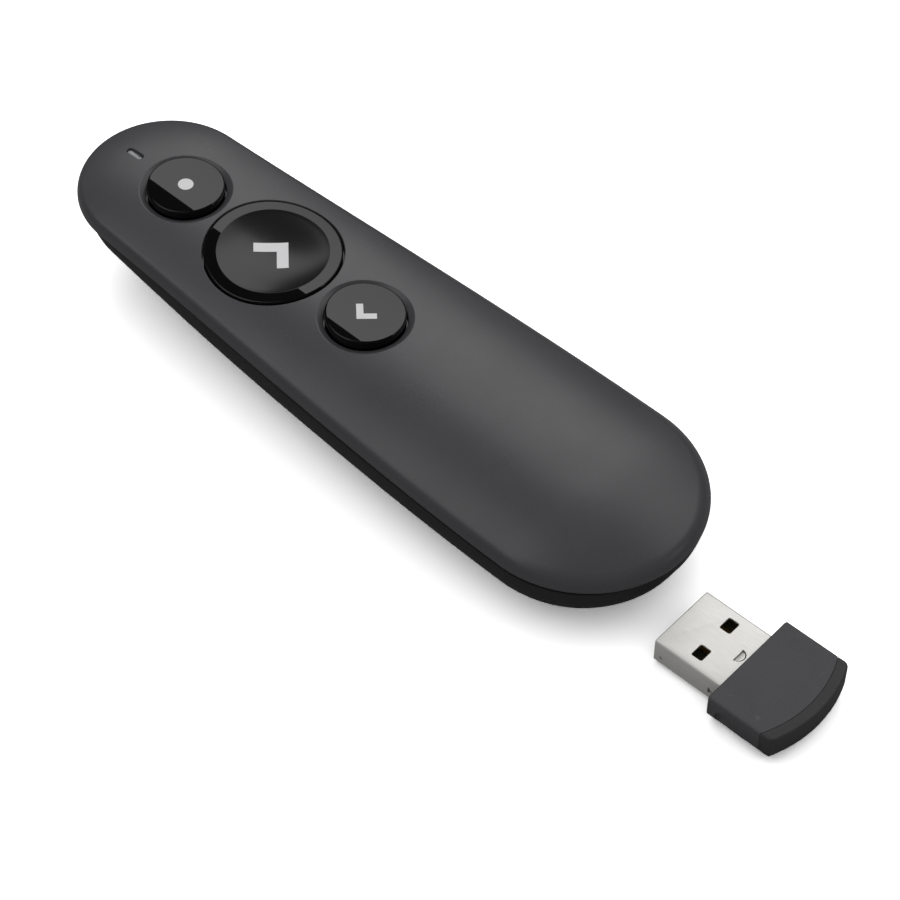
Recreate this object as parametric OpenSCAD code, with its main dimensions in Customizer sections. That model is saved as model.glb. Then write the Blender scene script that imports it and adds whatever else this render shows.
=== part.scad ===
// Wireless presentation clicker with its plug-in receiver, in millimetres.
// The origin is on the flat underside, below the middle of the clicker's length.
// +Y runs to the nose, where the laser leaves, and +Z is up.

/* [Clicker shell] */
// Radius of the round palm end, which is half the greatest width
palm_r = 18.65; // [18.35:0.05:19.5]
// Radius of the round nose end
nose_r = 14.4; // [14.1:0.05:15]
// Distance between the centres of the two round ends
spine_len = 86.5; // [85.9:0.2:91.9]
// How far each side bows out of its straight taper
side_bow = 0.6; // [0:0.05:0.8]
// Height of the top face at the middle of the next button
top_h = 18; // [18:0.1:20]
// Slope of the top face along its length, in degrees
top_tilt = 2; // [1.8:0.1:2.6]
// How far the top face falls between its middle and the palm end's rim
crown_drop = 2.8; // [2:0.1:3]
// Width of the rolled rim of the top face at the palm
rim_w = 2.4; // [1.8:0.1:2.8]
// Height of the rolled rim of the top face
rim_h = 1.6; // [1.2:0.05:1.8]
// Height of the top face above the seam, which runs at the same slope
seam_drop = 4.85; // [4.7:0.05:5.2]
// Width of the open line between the two shells
seam_gap = 0.3; // [0.1:0.05:0.5]
// Height of the upright wall below the seam
skirt_h = 1; // [0.6:0.1:1.6]
// How far the seam draws in below the nose
nose_tuck = 1.4; // [0.8:0.1:1.6]
// How far the seam draws in below the palm end
palm_tuck = 0.8; // [0:0.1:0.9]
// Length of the lifted underside, back from the tip of the nose
lift_len = 40.175; // [36.175:0.5:41.675]
// How far the underside lifts at the tip of the nose
nose_lift = 7.1; // [5:0.1:7.2]
// Wall of the top cover
cover_t = 1.5; // [1.2:0.05:1.6]
// Side wall of the bottom case
case_t = 2.4; // [2:0.1:2.5]
// Floor of the bottom case
floor_t = 1.4; // [1:0.1:1.5]

/* [Buttons] */
// Distance from the tip of the nose back to the middle of the laser button
laser_back = 18.625; // [18.425:0.1:18.825]
// Distance between the next button and the laser button
laser_pitch = 19.2; // [19.1:0.05:19.4]
// Distance between the next button and the back button
back_pitch = 19.6; // [19.4:0.05:20]
// Radius of the next button
next_r = 10.8; // [10:0.05:10.85]
// Radius of the dish in the next button
dish_r = 8.8; // [7:0.1:9.5]
// Depth of the dish in the next button
dish_d = 0.8; // [0.3:0.05:1]
// Radius of the laser button and the back button
small_r = 6.3; // [5:0.05:6.4]
// How far the laser button and the back button stand above the top face
small_rise = 0.9; // [0.3:0.05:1.5]
// Radial gap between a button and its hole
button_gap = 0.3; // [0.2:0.05:0.4]
// How far a button and its switch travel
travel = 0.3; // [0.2:0.05:0.4]
// Wall of a button
button_t = 0.9; // [0.7:0.05:1]
// Width of the collar that keeps a button below the cover
collar_w = 0.9; // [0.8:0.05:0.95]
// Depth of the bevelled ring around each small button
groove_d = 0.6; // [0.3:0.05:0.9]
// Width of the bevelled ring around each small button
groove_w = 0.9; // [0.5:0.05:1]

/* [Inside] */
// Width of the board
board_w = 20; // [19.8:0.1:20.4]
// Side of a switch
switch_w = 6; // [5:0.1:6.2]
// Radius of the plunger of a switch
plunger_r = 1.75; // [1.2:0.05:2]
// Radial clearance of a plunger in the switch's metal cover
plunger_fit = 0.08; // [0.05:0.01:0.1]
// How far the battery runs past the centre of the round palm end
cell_tail = 8.295; // [7.295:0.1:8.495]
// Clearance around the battery
cell_gap = 0.35; // [0.2:0.05:0.4]
// Outer radius of the laser barrel
barrel_r = 2.6; // [2.2:0.05:2.7]

/* [Battery door] */
// Distance from the middle of the next button forward to the door's front edge
door_setoff = 2; // [1.8:0.1:2.2]
// Width of the door's edge beside the receiver's bay
door_lip = 0.5; // [0.3:0.05:0.7]
// Gap around the battery door
door_gap = 0.25; // [0.15:0.05:0.3]
// How far the battery door slides
door_travel = 4; // [3.5:0.1:4.5]

/* [Receiver] */
// Sideways place of the receiver
dongle_x = -4.1; // [-8:0.1:2]
// Gap between the palm end and the tip of the plug
dongle_gap = 3.675; // [3.275:0.1:16.875]
// Width of the plug shell
plug_w = 12; // [11.9:0.05:12.1]
// Length of the plug shell outside the housing
plug_len = 11.9; // [11.5:0.1:12]
// Thickness of the plug shell's steel
plug_t = 0.3; // [0.25:0.05:0.35]
// Width of the receiver housing
housing_w = 18; // [17.4:0.1:18.2]
// Length of the receiver housing at its sides, without the end cap
housing_len = 9.2; // [8.6:0.1:9.3]
// Thickness of the end cap of the receiver
end_cap_t = 1.7; // [1.4:0.1:1.8]
// Radius of the bowed end of the receiver
bow_r = 20; // [18:0.5:24]
// Gap at the line between the housing and its end cap
cap_gap = 0.15; // [0.05:0.05:0.2]

/* [Hidden] */
$fn = 48;
eps = 0.01;
touch = 0.02;

// Shell: each station is a circle on the spine, and the outline is the curve that touches them all
nose_steps = 7;
side_steps = 12;
palm_steps = 8;
palm_c = -(spine_len + nose_r - palm_r) / 2;
nose_c = palm_c + spine_len;
nose_tip = nose_c + nose_r;
palm_tip = palm_c - palm_r;
next_y = nose_tip - laser_back - laser_pitch;
flat_len = nose_tip - lift_len;
door_front_y = next_y + door_setoff;
dongle_y = palm_tip - dongle_gap - plug_len;
// Inner heights are counted in ticks, 180 of them to the height of the top face
tick = top_h / 180;
door_t = 26 * tick;
board_depth = 59 * tick;
board_t = 10 * tick;
cell_r = 52.5 * tick;
cell_h = 73 * tick;
laser_h = 113 * tick;
housing_h = 60 * tick;
plug_h = 45 * tick;
crown_power = 3;
rim_fade = 0.5;
rim_angles = [0, 30, 60, 90];
bow_scale = 27 / 4;
belly_end = 68;
belly_angles = [68, 60, 50, 39, 27, 14];
cover_fractions = [0.93, 0.8, 0.6, 0.35];

function spine_r(t) = palm_r - (palm_r - nose_r) * t + side_bow * bow_scale * t * pow(1 - t, 2);
function side_slope(t) = (palm_r - nose_r - side_bow * bow_scale * (1 - t) * (1 - 3 * t)) / spine_len;
function side_angle(t) = asin(side_slope(t));
function nose_angle(k) = 90 - k * (90 - side_angle(1)) / nose_steps;
function palm_angle(k) = side_angle(0) - k * (90 + side_angle(0)) / palm_steps;
stations = concat(
    [for (k = [0:nose_steps - 1]) [nose_c, nose_r, nose_angle(k), 1, 0]],
    [for (k = [0:side_steps]) let (t = 1 - k / side_steps)
        [palm_c + t * spine_len, spine_r(t), side_angle(t), t, 0]],
    [for (k = [1:palm_steps]) [palm_c, palm_r, palm_angle(k), 0, k / palm_steps]]);
half_n = len(stations) - 1;
ring_n = 2 * half_n;

// A station's fourth number is its share of the way to the nose, its fifth the same around the palm
function tuck(s) = nose_tuck * pow(s[3], 2) + palm_tuck * pow(s[4], 2);
function rim_in(s) = rim_w * (1 - rim_fade * s[3]);

// One ring of points: a share of the way out from the spine, moved in from the rim, at a height
function ring(share, inset, height) = [for (i = [0:ring_n - 1]) let (
    s = stations[i <= half_n ? i : ring_n - i],
    side = i <= half_n ? 1 : -1,
    r = (s[1] - inset(s)) * share,
    y = s[0] + r * sin(s[2])) [side * r * cos(s[2]), y, height(r, y)]];

function mirror_of(i) = (ring_n - i) % ring_n;
function cap(first) = concat(
    [[first, first + 1, first + mirror_of(1)]],
    [for (i = [1:half_n - 2]) each [[first + i, first + i + 1, first + mirror_of(i + 1)],
        [first + i, first + mirror_of(i + 1), first + mirror_of(i)]]],
    [[first + half_n - 1, first + half_n, first + mirror_of(half_n - 1)]]);
function flip(faces) = [for (f = faces) [f[2], f[1], f[0]]];

module loft(rings) {
    rows = len(rings);
    walls = [for (k = [0:rows - 2], i = [0:ring_n - 1]) let (
        a = k * ring_n + i,
        b = k * ring_n + (i + 1) % ring_n) each [[a, b, b + ring_n], [a, b + ring_n, a + ring_n]]];
    top = (rows - 1) * ring_n;
    polyhedron(points = [for (r = rings) each r], faces = concat(flip(cap(0)), walls, cap(top)));
}

function plane_z(y) = top_h + (y - next_y) * tan(top_tilt);
function seam_z(y) = plane_z(y) - seam_drop;
function top_z(r, y) = plane_z(y) - crown_drop * pow(r / palm_r, crown_power);
function lift_z(y) = y < flat_len ? 0 : nose_lift * pow((y - flat_len) / (nose_tip - flat_len), 2);
function hull_z(a, y, floor) = let (skirt = seam_z(y) - skirt_h)
    skirt - (skirt - lift_z(y) - floor) * sin(a) / sin(belly_end);

module cover_outside() {
    loft(concat(
        [ring(1, function (s) tuck(s), function (r, y) seam_z(y) + seam_gap / 2)],
        [for (a = rim_angles) ring(1, function (s) rim_in(s) * (1 - cos(a)),
            function (r, y) top_z(r, y) - rim_h * (1 - sin(a)))],
        [for (f = cover_fractions) ring(f, function (s) rim_in(s), function (r, y) top_z(r, y))]));
}

module cover_inside() {
    loft(concat([
        ring(1, function (s) cover_t + tuck(s), function (r, y) seam_z(y) - cover_t),
        ring(1, function (s) cover_t, function (r, y) top_z(r, y) - cover_t)],
        [for (f = cover_fractions) ring(f, function (s) cover_t, function (r, y) top_z(r, y) - cover_t)]));
}

module case_outside() {
    edge = function (s) tuck(s);
    loft(concat([for (a = belly_angles) ring(cos(a), edge, function (r, y) hull_z(a, y, 0))], [
        ring(1, edge, function (r, y) seam_z(y) - skirt_h),
        ring(1, edge, function (r, y) seam_z(y) - seam_gap / 2)]));
}

module case_inside() {
    wall = function (s) case_t + tuck(s);
    loft(concat([for (a = belly_angles) ring(cos(a), wall, function (r, y) hull_z(a, y, floor_t))], [
        ring(1, wall, function (r, y) seam_z(y) - skirt_h),
        ring(1, wall, function (r, y) seam_z(y) + 2 * lip_h)]));
}

lip_h = 0.7;
lip_gap = 0.15;
lip_setback = 18.825;
lip_end = nose_tip - lip_setback;
module case_lip() {
    inset = function (s) cover_t + lip_gap + tuck(s);
    intersection() {
        loft([
            ring(1, inset, function (r, y) seam_z(y) - 2 * lip_h),
            ring(1, inset, function (r, y) seam_z(y) + lip_h)]);
        block([-2 * palm_r, 2 * palm_c, 0], [2 * palm_r, lip_end, 2 * top_h]);
    }
}

// Everything on the top face and the board is placed in a frame that slopes with the top face
module on_top(y = 0, z = 0) {
    translate([0, next_y, top_h]) rotate([top_tilt, 0, 0]) translate([0, y, z]) children();
}
button_places = [laser_pitch, 0, -back_pitch];
collar_places = [[laser_pitch, small_r], [0, next_r], [-back_pitch, small_r]];

// A box from its two opposite corners
module block(low, high) {
    translate(low) cube(high - low);
}

// Bays below the palm
bay_gap = 0.35;
bay_wall = 8 * tick;
contact_t = 0.3;
dimple_h = 0.35;
cap_h = 1;
cap_r = 1.9;
spring_len = 3.7;
bow_sag = bow_r - sqrt(pow(bow_r, 2) - pow(housing_w / 2, 2));
dongle_len = plug_len + housing_len + bow_sag + cap_gap + end_cap_t;
dongle_bay_w = housing_w / 2 + bay_gap;
door_overlap = 1.4;
dongle_bay_front = door_front_y - door_overlap;
dongle_bay_back = dongle_bay_front - dongle_len - 2 * bay_gap;
plate_z = door_t + door_gap;
plate_t = 1;
dongle_bay_top = plate_z + housing_h + door_gap;
cell_bay_w = cell_r + cell_gap;
end_wall = 1;
cell_bay_front = dongle_bay_back - end_wall;
cell_front = cell_bay_front - contact_t - dimple_h - touch - cap_h;
cell_back = palm_c - cell_tail;
cell_len = cell_front - cell_back;
cell_bay_back = cell_back - spring_len - contact_t - touch;
cell_bay_top = 110 * tick;
door_half_w = dongle_bay_w + door_lip;

// Screws
screw_x = 7.9;
screw_setoff = 9.175;
screw_y = palm_c + screw_setoff;
screw_r = 0.8;
screw_head_r = 1.45;
screw_seat = 43 * tick;
screw_head_h = 1;
boss_r = 2.1;
boss_top = cell_bay_top;
screw_top = 130 * tick;
cross_size = [1.8, 0.35, 0.9];

// Laser
barrel_setback = 11.925;
barrel_back = nose_tip - barrel_setback;
barrel_len = 6.3;
barrel_fit = 0.05;
window_r = 2;
window_t = 1;
aperture_r = 1.6;
window_wall = 0.8;
cradle_setoff = [0.6, 4.4];
cradle_w = 8;
cradle_t = 1.2;
window_setback = 3.975;
window_y = nose_tip - window_setback;

module both_sides() {
    children();
    mirror([1, 0, 0]) children();
}

module along_y(y, z) {
    translate([0, y, z]) rotate([-90, 0, 0]) children();
}

module laser_cradle(y) {
    difference() {
        block([-cradle_w / 2, y, 0], [cradle_w / 2, y + cradle_t, laser_h]);
        along_y(y - 1, laser_h) cylinder(r = barrel_r + barrel_fit, h = cradle_t + 2);
    }
}

module bottom_case() {
    color([0.17, 0.17, 0.18]) difference() {
        union() {
            difference() {
                union() {
                    case_outside();
                    case_lip();
                }
                case_inside();
            }
            intersection() {
                case_outside();
                union() {
                    block([-door_half_w - 2, 2 * palm_c, plate_z],
                        [door_half_w + 2, door_front_y + 1, plate_z + plate_t]);
                    block([-cell_bay_w - bay_wall, cell_bay_back - bay_wall, plate_z],
                        [cell_bay_w + bay_wall, cell_bay_front, cell_bay_top]);
                    block([-dongle_bay_w - bay_wall, dongle_bay_back - end_wall, plate_z],
                        [dongle_bay_w + bay_wall, dongle_bay_front + bay_wall, dongle_bay_top + bay_wall]);
                    for (d = cradle_setoff) laser_cradle(barrel_back + d);
                    along_y(window_y - window_t, laser_h)
                        cylinder(r = window_r + window_wall, h = window_setback);
                    both_sides() translate([screw_x, screw_y, plate_z])
                        cylinder(r = boss_r, h = boss_top - plate_z);
                }
            }
        }
        block([-door_half_w - door_gap, 2 * palm_c, -1],
            [door_half_w + door_gap, door_front_y + door_gap, plate_z]);
        block([-cell_bay_w, cell_bay_back, -1], [cell_bay_w, cell_bay_front, 2 * cell_bay_top]);
        block([-dongle_bay_w, dongle_bay_back, -1], [dongle_bay_w, dongle_bay_front, dongle_bay_top]);
        both_sides() translate([screw_x, screw_y, -1]) {
            cylinder(r = screw_r + 0.2, h = boss_top + 2);
            cylinder(r = screw_head_r + 0.1, h = screw_seat + 1);
        }
        along_y(barrel_back - 1, laser_h) cylinder(r = barrel_r + barrel_fit, h = barrel_len + 1 + touch);
        along_y(window_y - window_t - 1, laser_h) cylinder(r = window_r + barrel_fit, h = window_t + 1);
        along_y(window_y - eps, laser_h) cylinder(r = aperture_r, h = 2 * window_setback);
    }
}

tongue_w = 8;
tongue_len = 1.2;
tongue_end = door_front_y + tongue_len;
grip_pitch = 2.4;
grip_w = 0.8;
grip_d = 0.35;
grip_len = 9;
grip_y = screw_y;
groove_len = cell_len + door_travel + 2 * cell_gap;
module battery_door() {
    color([0.17, 0.17, 0.18]) difference() {
        union() {
            intersection() {
                case_outside();
                block([-door_half_w, 2 * palm_c, 0], [door_half_w, door_front_y, door_t]);
            }
            block([-tongue_w / 2, door_front_y - 1, floor_t + lift_z(tongue_end) + door_gap],
                [tongue_w / 2, tongue_end, door_t - 0.1]);
        }
        along_y(cell_back - cell_gap, cell_h) cylinder(r = cell_bay_w, h = groove_len);
        for (k = [-2:2]) translate([0, grip_y + k * grip_pitch, 0])
            cube([grip_len, grip_w, 2 * grip_d], center = true);
    }
}

// Buttons
small_hole_r = small_r + button_gap;
next_rise = 0.35;
edge_c = 0.3;
collar_t = 0.7;
collar_top = -(cover_t + 0.1);
collar_bottom = collar_top - collar_t;
post_r = 1.5;
post_bottom = -33 * tick;
slot_y = laser_pitch + 11.2;
slot_len = 3.6;
slot_w = 0.9;

module slot(grow, low, high) {
    w = slot_w + 2 * grow;
    translate([0, slot_y, low]) {
        for (s = [-1, 1]) translate([0, s * (slot_len - slot_w) / 2, 0]) cylinder(d = w, h = high - low);
        translate([-w / 2, -(slot_len - slot_w) / 2, 0]) cube([w, slot_len - slot_w, high - low]);
    }
}

stake_r = 1.3;
stake_pin_r = 0.65;
stake_inset = 6;
stake_places = [[9, stake_inset - back_pitch], [9, laser_pitch - stake_inset]];
module top_cover() {
    color([0.24, 0.24, 0.26]) difference() {
        union() {
            difference() {
                cover_outside();
                cover_inside();
            }
            both_sides() {
                on_top() for (p = stake_places) translate([p[0], p[1], 0]) {
                    translate([0, 0, -board_depth + touch]) cylinder(r = stake_r, h = board_depth - 1);
                    translate([0, 0, -board_depth - board_t - 0.1])
                        cylinder(r = stake_pin_r, h = board_t + 1);
                }
                intersection() {
                    translate([screw_x, screw_y, boss_top + 0.1]) cylinder(r = boss_r - 0.1, h = top_h);
                    translate([0, 0, -cover_t / 2]) cover_outside_filled();
                }
            }
        }
        both_sides() translate([screw_x, screw_y, 0]) cylinder(r = screw_r + touch, h = screw_top + 0.5);
        on_top() {
            translate([0, 0, -2 * cover_t]) cylinder(r = next_r + button_gap, h = 4 * cover_t);
            for (y = [laser_pitch, -back_pitch]) translate([0, y, 0]) {
                translate([0, 0, -2 * cover_t]) cylinder(r = small_hole_r, h = 4 * cover_t);
                translate([0, 0, -groove_d])
                    cylinder(r1 = small_hole_r, r2 = small_hole_r + groove_w * 2, h = 2 * groove_d);
            }
            slot(0, -2 * cover_t, cover_t);
            for (b = collar_places) translate([0, b[0], -3 * cover_t])
                cylinder(r = b[1] + collar_w + button_gap, h = 2 * cover_t);
        }
    }
}

// The top face's solid, carried down far enough to end the screw posts in the cover's wall
module cover_outside_filled() {
    loft([
        ring(0.9, function (s) cover_t, function (r, y) 0),
        ring(0.9, function (s) cover_t, function (r, y) top_z(r, y)),
        ring(0.5, function (s) cover_t, function (r, y) top_z(r, y))]);
}

module button_cap(r, top, dish, flat_r) {
    under = top - dish - button_t;
    steps = 8;
    rotate_extrude() polygon(concat(
        [for (k = [0:steps]) [flat_r * k / steps, top - dish * (1 - pow(k / steps, 2))]],
        [[r - edge_c, top], [r, top - edge_c], [r, collar_top], [r + collar_w, collar_top],
        [r + collar_w, collar_bottom], [r - button_t, collar_bottom], [r - button_t, under],
        [post_r, under], [post_r, post_bottom], [0, post_bottom]]));
}

module laser_button() {
    color([0.03, 0.03, 0.03]) on_top(laser_pitch) button_cap(small_r, small_rise, 0, small_r / 2);
}

module next_button() {
    color([0.03, 0.03, 0.03]) on_top() button_cap(next_r, next_rise, dish_d, dish_r);
}

module back_button() {
    color([0.03, 0.03, 0.03]) on_top(-back_pitch) button_cap(small_r, small_rise, 0, small_r / 2);
}

light_setoff = 5;
light_y = laser_pitch + light_setoff;
guide_t = 1;
guide_w = 1.4;
guide_z = -32 * tick;
guide_gap = 0.2;
guide_recess = 0.85;
light_size = [1.2, 1.2, 0.7];
module light_guide() {
    color([0.8, 0.8, 0.8]) on_top() union() {
        slot(-0.05, guide_z - guide_t, -guide_recess);
        block([-guide_w / 2, light_y - 0.8, guide_z - guide_t], [guide_w / 2, slot_y, guide_z]);
        block([-guide_w / 2, light_y - 0.8, -board_depth + light_size[2] + guide_gap],
            [guide_w / 2, light_y + 0.8, guide_z]);
    }
}

board_back = -back_pitch - 5.9;
board_front = light_y + 1;
module main_board() {
    color([0.05, 0.25, 0.12]) on_top(0, -board_depth - board_t) difference() {
        block([-board_w / 2, board_back, 0], [board_w / 2, board_front, board_t]);
        both_sides() for (p = stake_places) translate([p[0], p[1], -1])
            cylinder(r = stake_pin_r + 0.1, h = board_t + 2);
    }
}

// Switches, from the board up: a base, a dome, a plunger and a metal cover
plunger_top = post_bottom - touch;
switch_top = plunger_top - travel - 0.4;
cover_plate_t = 0.2;
plunger_foot = plunger_top - 16 * tick;
switch_floor = 0.3;
dome_r = 2.5;
dome_t = 0.1;
module switch_bases() {
    color([0.1, 0.1, 0.1]) for (y = button_places) on_top(y, -board_depth) difference() {
        translate([-switch_w / 2, -switch_w / 2, touch])
            cube([switch_w, switch_w, board_depth + switch_top - cover_plate_t - touch]);
        translate([0, 0, switch_floor]) cylinder(r = dome_r + 0.15, h = board_depth);
    }
}

module switch_covers() {
    low = switch_top - cover_plate_t + touch;
    color([0.75, 0.75, 0.76]) for (y = button_places) on_top(y, low) difference() {
        translate([-switch_w / 2, -switch_w / 2, 0]) cube([switch_w, switch_w, cover_plate_t - touch]);
        translate([0, 0, -1]) cylinder(r = plunger_r + plunger_fit, h = 2);
    }
}

module dome() {
    low = -board_depth + switch_floor + touch;
    rise = plunger_foot - touch - low - dome_t;
    steps = 6;
    color([0.85, 0.82, 0.7]) rotate_extrude() polygon(concat(
        [for (k = [0:steps]) [dome_r * k / steps, low + dome_t + rise * (1 - pow(k / steps, 2))]],
        [for (k = [steps:-1:0]) [dome_r * k / steps, low + rise * (1 - pow(k / steps, 2))]]));
}

module laser_dome() { on_top(laser_pitch) dome(); }
module next_dome() { on_top() dome(); }
module back_dome() { on_top(-back_pitch) dome(); }

module plunger() {
    color([0.85, 0.85, 0.85]) {
        translate([0, 0, plunger_foot]) cylinder(r = plunger_r, h = plunger_top - plunger_foot);
        translate([0, 0, plunger_foot]) cylinder(r = plunger_r + 0.45, h = 0.4);
    }
}

module laser_plunger() { on_top(laser_pitch) plunger(); }
module next_plunger() { on_top() plunger(); }
module back_plunger() { on_top(-back_pitch) plunger(); }

// Parts that stand on the board
module on_board(x, y, size) {
    on_top(y, -board_depth + touch) translate([x - size[0] / 2, -size[1] / 2, 0]) cube(size);
}
chip_place = [-5.4, laser_pitch - 10];
crystal_place = [6, laser_pitch - 9.6];
inductor_place = [6, -back_pitch / 2];
capacitor_place = [-8, -back_pitch / 2];
capacitor_pitch = 1.8;
shield_size = [5.4, 5.4, 1.3];
shield_t = 0.2;

module radio_chip() {
    color([0.06, 0.06, 0.06]) on_board(chip_place[0], chip_place[1], [4, 4, 0.8]);
}

module radio_shield() {
    color([0.72, 0.72, 0.72]) difference() {
        on_board(chip_place[0], chip_place[1], shield_size);
        on_board(chip_place[0], chip_place[1], shield_size - shield_t * [2, 2, 1]);
    }
}

module crystal() {
    color([0.8, 0.78, 0.7]) on_board(crystal_place[0], crystal_place[1], [3.2, 2.5, 0.8]);
}

module power_inductor() {
    color([0.2, 0.2, 0.2]) on_board(inductor_place[0], inductor_place[1], [4, 4, 2]);
}

module capacitors() {
    color([0.7, 0.6, 0.45]) for (k = [0:3])
        on_board(capacitor_place[0] + capacitor_pitch * k, capacitor_place[1], [0.8, 1.6, 0.8]);
}

module status_light() {
    color([0.95, 0.95, 0.9]) on_board(0, light_y, light_size);
}

// Laser
barrel_t = 0.55;
barrel_inner_r = barrel_r - barrel_t;
diode_len = 2.2;
lens_setoff = 4.6;
lens_y = barrel_back + lens_setoff;
module laser_barrel() {
    color([0.75, 0.6, 0.3]) along_y(barrel_back, laser_h) difference() {
        cylinder(r = barrel_r, h = barrel_len);
        translate([0, 0, -1]) cylinder(r = barrel_inner_r, h = barrel_len + 2);
    }
}

module laser_lens() {
    color([0.8, 0.9, 0.9, 0.4]) along_y(lens_y, laser_h) cylinder(r = barrel_inner_r - touch, h = 1.2);
}

module laser_diode() {
    color([0.7, 0.68, 0.6]) along_y(barrel_back, laser_h) union() {
        cylinder(r = barrel_inner_r - touch, h = 0.8);
        cylinder(r = 1.4, h = diode_len);
    }
}

lead_len = 3;
lead_x = 0.7;
lead_rise = 0.25;
module laser_leads() {
    color([0.8, 0.8, 0.8]) both_sides() translate([lead_x, 0, 0])
        along_y(barrel_back - lead_len - touch, laser_h + lead_rise) cylinder(r = 0.2, h = lead_len);
}

module laser_window() {
    color([0.3, 0.05, 0.05, 0.5]) along_y(window_y - window_t, laser_h) cylinder(r = window_r, h = window_t);
}

// Battery and its contacts
module cell_can() {
    color([0.75, 0.75, 0.72]) along_y(cell_back, cell_h) cylinder(r = cell_r, h = cell_len);
}

module cell_cap() {
    color([0.85, 0.85, 0.83]) along_y(cell_front, cell_h) cylinder(r = cap_r, h = cap_h);
}

contact_low = 40 * tick;
contact_high = 106 * tick;
contact_w = 8;
module positive_contact() {
    color([0.85, 0.84, 0.8]) union() {
        block([-contact_w / 2, cell_bay_front - contact_t, contact_low],
            [contact_w / 2, cell_bay_front - touch, contact_high]);
        along_y(cell_bay_front - contact_t - dimple_h, cell_h) cylinder(r = 1.2, h = dimple_h + eps);
    }
}
module negative_contact() {
    color([0.85, 0.84, 0.8]) block([-contact_w / 2, cell_bay_back + touch, contact_low],
        [contact_w / 2, cell_bay_back + contact_t, contact_high]);
}

wire_r = 0.25;
spring_turns = 3;
spring_small_r = 1.6;
spring_large_r = 3.4;
wire_sides = 6;
turn_steps = 14;
module negative_spring() {
    steps = spring_turns * turn_steps;
    span = spring_len - 2 * wire_r - 2 * touch;
    rings = [for (k = [0:steps]) let (
        u = k / steps,
        a = 360 * k / turn_steps,
        r = spring_large_r + (spring_small_r - spring_large_r) * u) each
        [for (j = [0:wire_sides - 1]) let (b = 360 * j / wire_sides, q = r + wire_r * cos(b))
            [q * sin(a), wire_r + span * u + wire_r * sin(b), q * cos(a)]]];
    walls = [for (k = [0:steps - 1], j = [0:wire_sides - 1]) let (
        p = k * wire_sides + j,
        q = k * wire_sides + (j + 1) % wire_sides) each
        [[p, q, q + wire_sides], [p, q + wire_sides, p + wire_sides]]];
    ends = [[for (j = [wire_sides - 1:-1:0]) j], [for (j = [0:wire_sides - 1]) steps * wire_sides + j]];
    color([0.85, 0.85, 0.85]) translate([0, cell_bay_back + contact_t + touch, cell_h])
        polyhedron(points = rings, faces = concat(walls, ends));
}

module case_screws() {
    color([0.6, 0.6, 0.6]) both_sides() translate([screw_x, screw_y, 0]) difference() {
        union() {
            translate([0, 0, screw_seat - screw_head_h])
                cylinder(r = screw_head_r, h = screw_head_h - touch);
            translate([0, 0, screw_seat - 0.5]) cylinder(r = screw_r, h = screw_top - screw_seat + 0.5);
        }
        for (a = [0, 90]) translate([0, 0, screw_seat - screw_head_h]) rotate([0, 0, a])
            cube(cross_size, center = true);
    }
}

// Receiver, in its own frame: the plug points along +Y from the housing's face
module on_dongle() {
    translate([dongle_x, dongle_y, 0]) children();
}
plug_low = (housing_h - plug_h) / 2;
plug_root = 3;
plug_fit = 0.05;
housing_t = 0.6;
edge_bevel = 0.5;
belly_bevel = 1.2;

module housing_section(grow) {
    w = housing_w / 2 + grow;
    h = housing_h + 2 * grow;
    translate([0, -grow]) polygon([[-w + belly_bevel, 0], [w - belly_bevel, 0], [w, belly_bevel],
        [w, h - edge_bevel], [w - edge_bevel, h], [-w + edge_bevel, h], [-w, h - edge_bevel],
        [-w, belly_bevel]]);
}

module housing_bar(grow, back, front) {
    translate([0, front, 0]) rotate([90, 0, 0]) linear_extrude(front - back) housing_section(grow);
}

// Inside of the bowed line at a distance behind the housing's own end
module bow(out) {
    translate([0, bow_r - housing_len - bow_sag, -1])
        cylinder(r = bow_r + out, h = housing_h + 2, $fn = 96);
}

module receiver_housing() {
    color([0.2, 0.2, 0.21]) on_dongle() difference() {
        intersection() {
            housing_bar(0, -bow_r, 0);
            bow(0);
        }
        intersection() {
            housing_bar(-housing_t, -bow_r, -housing_t);
            bow(eps);
        }
        block([-plug_w / 2 - plug_fit, -housing_t - 1, plug_low - plug_fit],
            [plug_w / 2 + plug_fit, 1, plug_low + plug_h + plug_fit]);
    }
}

module receiver_end_cap() {
    color([0.16, 0.16, 0.17]) on_dongle() difference() {
        intersection() {
            housing_bar(0, -bow_r, -housing_len / 2);
            bow(cap_gap + end_cap_t);
        }
        bow(cap_gap);
    }
}

window_w = 2.5;
window_len = 1.9;
window_x = 3.25;
window_tip = 5.2;
module plug_shell() {
    color([0.8, 0.8, 0.78]) on_dongle() difference() {
        block([-plug_w / 2, -plug_root, plug_low], [plug_w / 2, plug_len, plug_low + plug_h]);
        block([-plug_w / 2 + plug_t, -plug_root - 1, plug_low + plug_t],
            [plug_w / 2 - plug_t, plug_len + 1, plug_low + plug_h - plug_t]);
        for (s = [-1, 1]) translate([s * window_x, plug_len - window_tip - window_len / 2, housing_h / 2])
            cube([window_w, window_len, 2 * plug_h], center = true);
    }
}

tongue_t = 1.9;
plug_inset = plug_t + plug_fit;
contact_z = plug_low + plug_inset + tongue_t + touch;
module plug_tongue() {
    color([0.9, 0.9, 0.9]) on_dongle() block([-plug_w / 2 + plug_inset, -plug_root, plug_low + plug_inset],
        [plug_w / 2 - plug_inset, plug_len - 0.5, plug_low + plug_inset + tongue_t]);
}
contact_x = [-3.5, -1, 1, 3.5];
module plug_contacts() {
    color([0.9, 0.75, 0.35]) on_dongle() for (x = contact_x)
        block([x - 0.5, -plug_root, contact_z], [x + 0.5, plug_len - 1.5, contact_z + 0.13]);
}

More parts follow.
